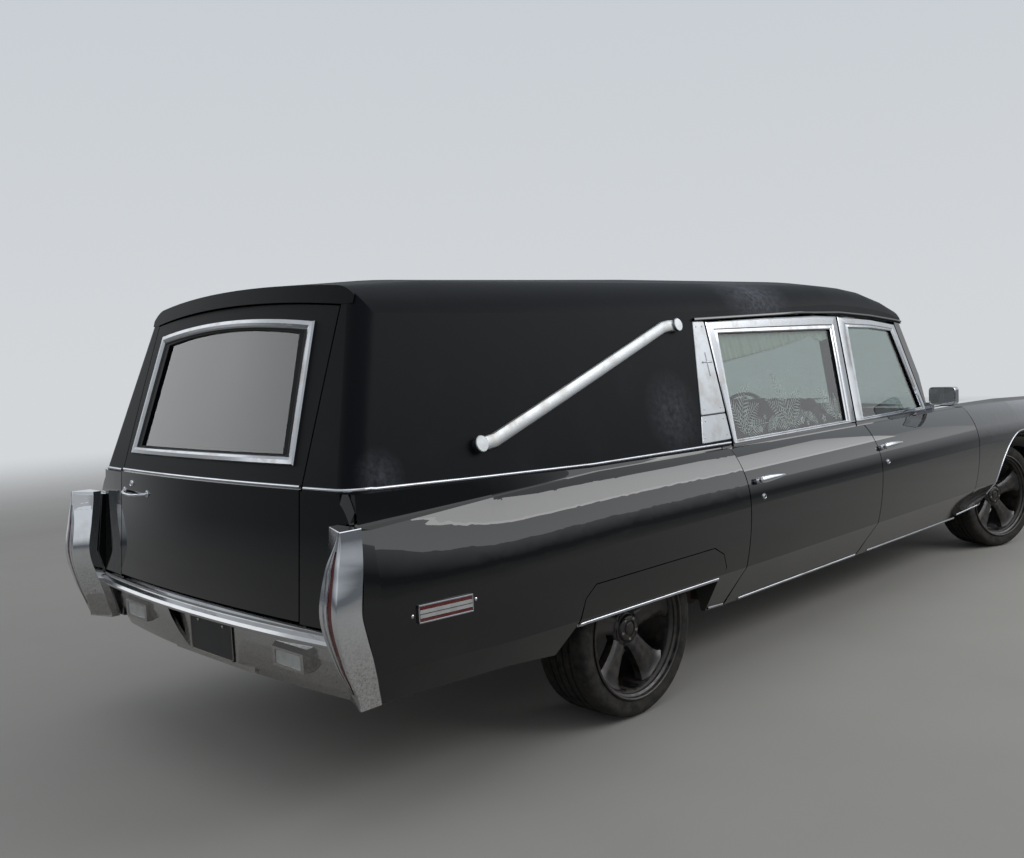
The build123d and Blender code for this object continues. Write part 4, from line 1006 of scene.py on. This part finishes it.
# Four round headlamps: a bright turned bezel and a domed fluted lens each
bezel = [(0.0790, -0.003), (0.0790, 0.007), (0.0815, 0.0105), (0.0865, 0.0110), (0.0900, 0.008),
         (0.0915, 0.0035), (0.0915, 0.001)]
domed_lens = [(0.0, 0.0110), (0.030, 0.0098), (0.055, 0.0065), (0.0785, 0.0015), (0.0785, -0.002),
              (0.0, -0.002)]
for name, profile, material, slot in (("headlamp_bezels", bezel, chrome, "chrome"),
                                      ("headlamp_lenses", domed_lens, clear_lens, "lamp_glass")):
    skins = []
    for y in (-0.738, -0.548, 0.548, 0.738):
        skins += moved([turned(profile, 64)], standing((3.1225, y, 0.750), (1, 0, 0)))
    add_piece(name, skins, material, "body")

# Wheels: grooved tyre, stepped rim, five broad spokes, hub with curved slots drawn as painted shade, nuts
# and a valve
shoulder = [(0.258, -0.106), (0.262, -0.112), (0.290, -0.1205), (0.312, -0.1215), (0.327, -0.1175),
            (0.335, -0.109), (0.3385, -0.100), (0.341, -0.084)]
grooves = []
for middle in (-0.052, -0.018, 0.018, 0.052):
    grooves += [(tyre_radius, middle - 0.006), (0.335, middle - 0.005), (0.335, middle + 0.005),
                (tyre_radius, middle + 0.006)]
tyre_profile = shoulder + grooves + [(r, -z) for r, z in reversed(shoulder)]
rim_profile = [(0.257, -0.104), (0.271, -0.112), (0.273, -0.119), (0.262, -0.121), (0.250, -0.112),
               (0.243, -0.080), (0.238, -0.020), (0.237, 0.050), (0.239, 0.078), (0.243, 0.090),
               (0.2475, 0.094), (0.2505, 0.100), (0.2505, 0.104), (0.254, 0.107), (0.259, 0.110),
               (0.261, 0.116), (0.262, 0.122), (0.266, 0.1245), (0.271, 0.122), (0.272, 0.116),
               (0.269, 0.110), (0.257, 0.104)]
hub_profile = [(0.0, 0.073), (0.018, 0.0725), (0.024, 0.070), (0.026, 0.066), (0.031, 0.066), (0.033, 0.071),
               (0.047, 0.070), (0.052, 0.066), (0.055, 0.058), (0.072, 0.054), (0.078, 0.048),
               (0.080, 0.010), (0.0, 0.010)]
nut = [(0.0, 0.060), (0.006, 0.060), (0.009, 0.057), (0.010, 0.050), (0.0, 0.050)]
valve = [(0.0, 0.0), (0.003, 0.0), (0.003, 0.020), (0.004, 0.022), (0.004, 0.030), (0.0, 0.031)]
nut_circle, slot_circle, valve_circle = 0.0425, 0.064, 0.243
spoke_turns = [math.radians(90 + 72 * k) for k in range(5)]
nut_turns = [math.radians(126 + 72 * k) for k in range(5)]
# Rows of a spoke: radius, half width, height at its crest and at its edge, and height of its back
spoke_rows = ((0.060, 0.040, 0.054, 0.044, 0.012), (0.085, 0.037, 0.061, 0.048, 0.014),
              (0.120, 0.040, 0.066, 0.052, 0.016), (0.160, 0.047, 0.069, 0.055, 0.018),
              (0.195, 0.056, 0.071, 0.057, 0.020), (0.220, 0.068, 0.074, 0.062, 0.024),
              (0.234, 0.084, 0.080, 0.070, 0.030), (0.243, 0.096, 0.086, 0.078, 0.040))


def spoke_skin(turn):
    """One broad spoke, crowned across with a shallow channel, that flares into the hub and the rim."""
    rings = []
    for radius, half, crest, edge, back in spoke_rows:
        ring = []
        for share in [-1 + k / 4 for k in range(9)]:
            dip = 0.003 if abs(share) < 0.3 else 0.0
            ring.append((half * share, edge + (crest - edge) * (1 - abs(share) ** 3) - dip))
        ring += [(half * 0.94, back), (-half * 0.94, back)]
        placed = []
        for across, height in ring:
            reach = math.sqrt(max(radius * radius - across * across * 0.35, 1e-6))
            placed.append(Vector((reach * math.cos(turn) - across * math.sin(turn),
                                  reach * math.sin(turn) + across * math.cos(turn), height)))
        rings.append(placed)
    return skin(rings)


def slot_skin(middle_turn):
    """Curved black shape beside the hub cap, painted shade standing in for the opening of a slot."""
    rings = []
    for k in range(9):
        turn = middle_turn + math.radians(-22 + 44 * k / 8)
        half = 0.0035 * math.sin(math.pi * (k + 0.6) / 9.2) + 0.001
        section = ((slot_circle - half, 0.0545), (slot_circle - half, 0.0600),
                   (slot_circle + half, 0.0590), (slot_circle + half, 0.0535))
        rings.append([Vector((r * math.cos(turn), r * math.sin(turn), z)) for r, z in section])
    return skin(rings)


def on_circle(radius, turn, z):
    """Shift to a place on a circle about the wheel's axis."""
    return Matrix.Translation((radius * math.cos(turn), radius * math.sin(turn), z))


wheel_places = {}
for side, sign in sides:
    rear_centre = Vector((rear_axle.x, sign * rear_track, rear_axle.z))
    wheel_places["rear_" + side] = (rear_centre, Vector((0, sign, 0)))
    heading = Vector((-sign * math.sin(parked_steer), sign * math.cos(parked_steer), 0))
    kingpin = Vector((front_axle.x, sign * kingpin_y, front_axle.z))
    wheel_places["front_" + side] = (kingpin + heading * kingpin_to_wheel, heading)
for corner, (centre, heading) in wheel_places.items():
    body = "wheel_" + corner
    upright = Vector((0, 0, 1))
    place = Matrix((upright.cross(heading), upright, heading)).transposed().to_4x4()
    place.translation = centre
    tyre = add_piece("dressed_tyre_" + corner, [turned(tyre_profile, 120)], rubber, body, sharp=40,
                     place=place)
    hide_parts("tyre_" + corner)
    skins = [turned(rim_profile, 96), turned(hub_profile, 60)] + [spoke_skin(turn) for turn in spoke_turns]
    rim = add_piece("dressed_rim_" + corner, skins, wheel_black, body, sharp=38, place=place)
    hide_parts("rim_" + corner)
    # Black crescents on the hub: painted shade for its slots
    skins = [slot_skin(turn) for turn in nut_turns]
    add_piece("hub_slot_shades_" + corner, skins, flat_black_and_slot_shade, body, place=place)
    skins = []
    for turn in nut_turns:
        skins += moved([turned(nut, 6)], on_circle(nut_circle, turn, 0.012))
    skins += moved([turned(valve, 10)], on_circle(valve_circle, 2.2, 0.076))
    add_piece("wheel_nuts_" + corner, skins, nut_steel, body, place=place)


# Pale floor that fades out into the studio
def concrete_floor(tree, coords):
    """Smooth grey concrete, matt and faintly clouded, that ends softly round the car."""
    cloud = patches(tree, coords, 900, detail=4)
    tone = node(tree, "Mix", {0: cloud, 6: "#8b8985", 7: "#969490"}, 2, data_type="RGBA")
    concrete = node(tree, "BsdfPrincipled",
                    {"Base Color": tone, "Roughness": 0.85, "Specular IOR Level": 0.15})
    away = node(tree, "VectorMath", {0: coords, 1: (-0.5, 0.0, 0.0)}, "Value", operation="DISTANCE")
    fade = node(tree, "MapRange", {"Value": away, **levels(6.0, 17.0)}, interpolation_type="SMOOTHSTEP")
    return node(tree, "MixShader", {0: fade, 1: concrete, 2: node(tree, "BsdfTransparent")})


floor_reach = 60.0
floor_corners = [(x * floor_reach, y * floor_reach, 0) for x, y in ((-1, -1), (1, -1), (1, 1), (-1, 1))]
floor_mesh = bpy.data.meshes.new("floor")
floor_mesh.from_pydata(floor_corners, [], [(0, 1, 2, 3)])
floor = bpy.data.objects.new("floor", floor_mesh)
bpy.context.scene.collection.objects.link(floor)
paint(floor, finish("floor_grey_concrete", concrete_floor))


# Soft lamps: their reflections draw the pale streaks along the enamel's shoulder and the roof
def area_light(name, place, target, width, depth, power, spread=180):
    """Rectangular lamp at a place that points at a target and stays out of the camera's sight."""
    data = bpy.data.lights.new(name, "AREA")
    data.shape = "RECTANGLE"
    data.size = width
    data.size_y = depth
    data.energy = power
    data.spread = math.radians(spread)
    made = bpy.data.objects.new(name, data)
    made.location = place
    made.rotation_euler = (Vector(target) - Vector(place)).to_track_quat("-Z", "Y").to_euler()
    made.visible_camera = False
    bpy.context.scene.collection.objects.link(made)


area_light("sky_panel", (-1.0, -1.0, 7.5), (-1.0, 0, 0), 9.0, 6.0, 110)
area_light("shoulder_panel", (5.0, -5.4, 5.25), (3.6, 0, 2.6), 11.5, 2.5, 185, spread=120)
area_light("shoulder_panel_foot", (5.0, -5.4, 3.05), (3.6, 0, 2.3), 11.5, 2.0, 36, spread=120)
area_light("rear_glass_panel", (-6.2, 6.6, 3.6), (-3.0, 0, 1.3), 5.5, 3.4, 11, spread=80)

# Studio walls: pale ahead of the camera, and grey at the horizon behind it so that the sides stay dark
world = bpy.data.worlds.new("studio")
bpy.context.scene.world = world
world.use_nodes = True
walls = world.node_tree
walls.nodes.clear()
direction = node(walls, "TexCoord", out="Generated")
front = node(walls, "VectorMath", {0: direction, 1: (0.70, 0.71, 0.0)}, "Value", operation="DOT_PRODUCT")
pale = node(walls, "MapRange", {"Value": front, **levels(0.25, 0.80)}, interpolation_type="SMOOTHSTEP")
high_ahead = above_ground(walls, direction, 0.0, 0.5)
high_behind = above_ground(walls, direction, -0.01, 0.15)
ahead_tone = node(walls, "Mix", {0: high_ahead, 6: "#d3d6d9", 7: "#c3cad2"}, 2, data_type="RGBA")
back_tone = node(walls, "Mix", {0: high_behind, 6: "#5c6064", 7: "#cdd1d5"}, 2, data_type="RGBA")
wall_tone = node(walls, "Mix", {0: pale, 6: back_tone, 7: ahead_tone}, 2, data_type="RGBA")
node(walls, "OutputWorld", {"Surface": node(walls, "Background", {"Color": wall_tone, "Strength": 1.0})})

# The photograph's viewpoint: eye level behind the car's right rear corner
yaw, pitch, roll = (math.radians(angle) for angle in (45.36, -4.17, -2.90))
ahead = Vector((math.cos(yaw) * math.cos(pitch), math.sin(yaw) * math.cos(pitch), math.sin(pitch)))
level_right = ahead.cross(Vector((0, 0, 1))).normalized()
level_up = level_right.cross(ahead)
right = math.cos(roll) * level_right + math.sin(roll) * level_up
up = math.cos(roll) * level_up - math.sin(roll) * level_right
camera_data = bpy.data.cameras.new("camera")
camera_data.sensor_width = 36.0
camera_data.lens = 35.375
camera = bpy.data.objects.new("camera", camera_data)
camera.matrix_world = (Matrix.Translation((-4.78786, -3.32626, 1.43508))
                       @ Matrix((right, up, -ahead)).transposed().to_4x4())
bpy.context.scene.collection.objects.link(camera)
bpy.context.scene.camera = camera
bpy.context.scene.view_settings.view_transform = "Standard"
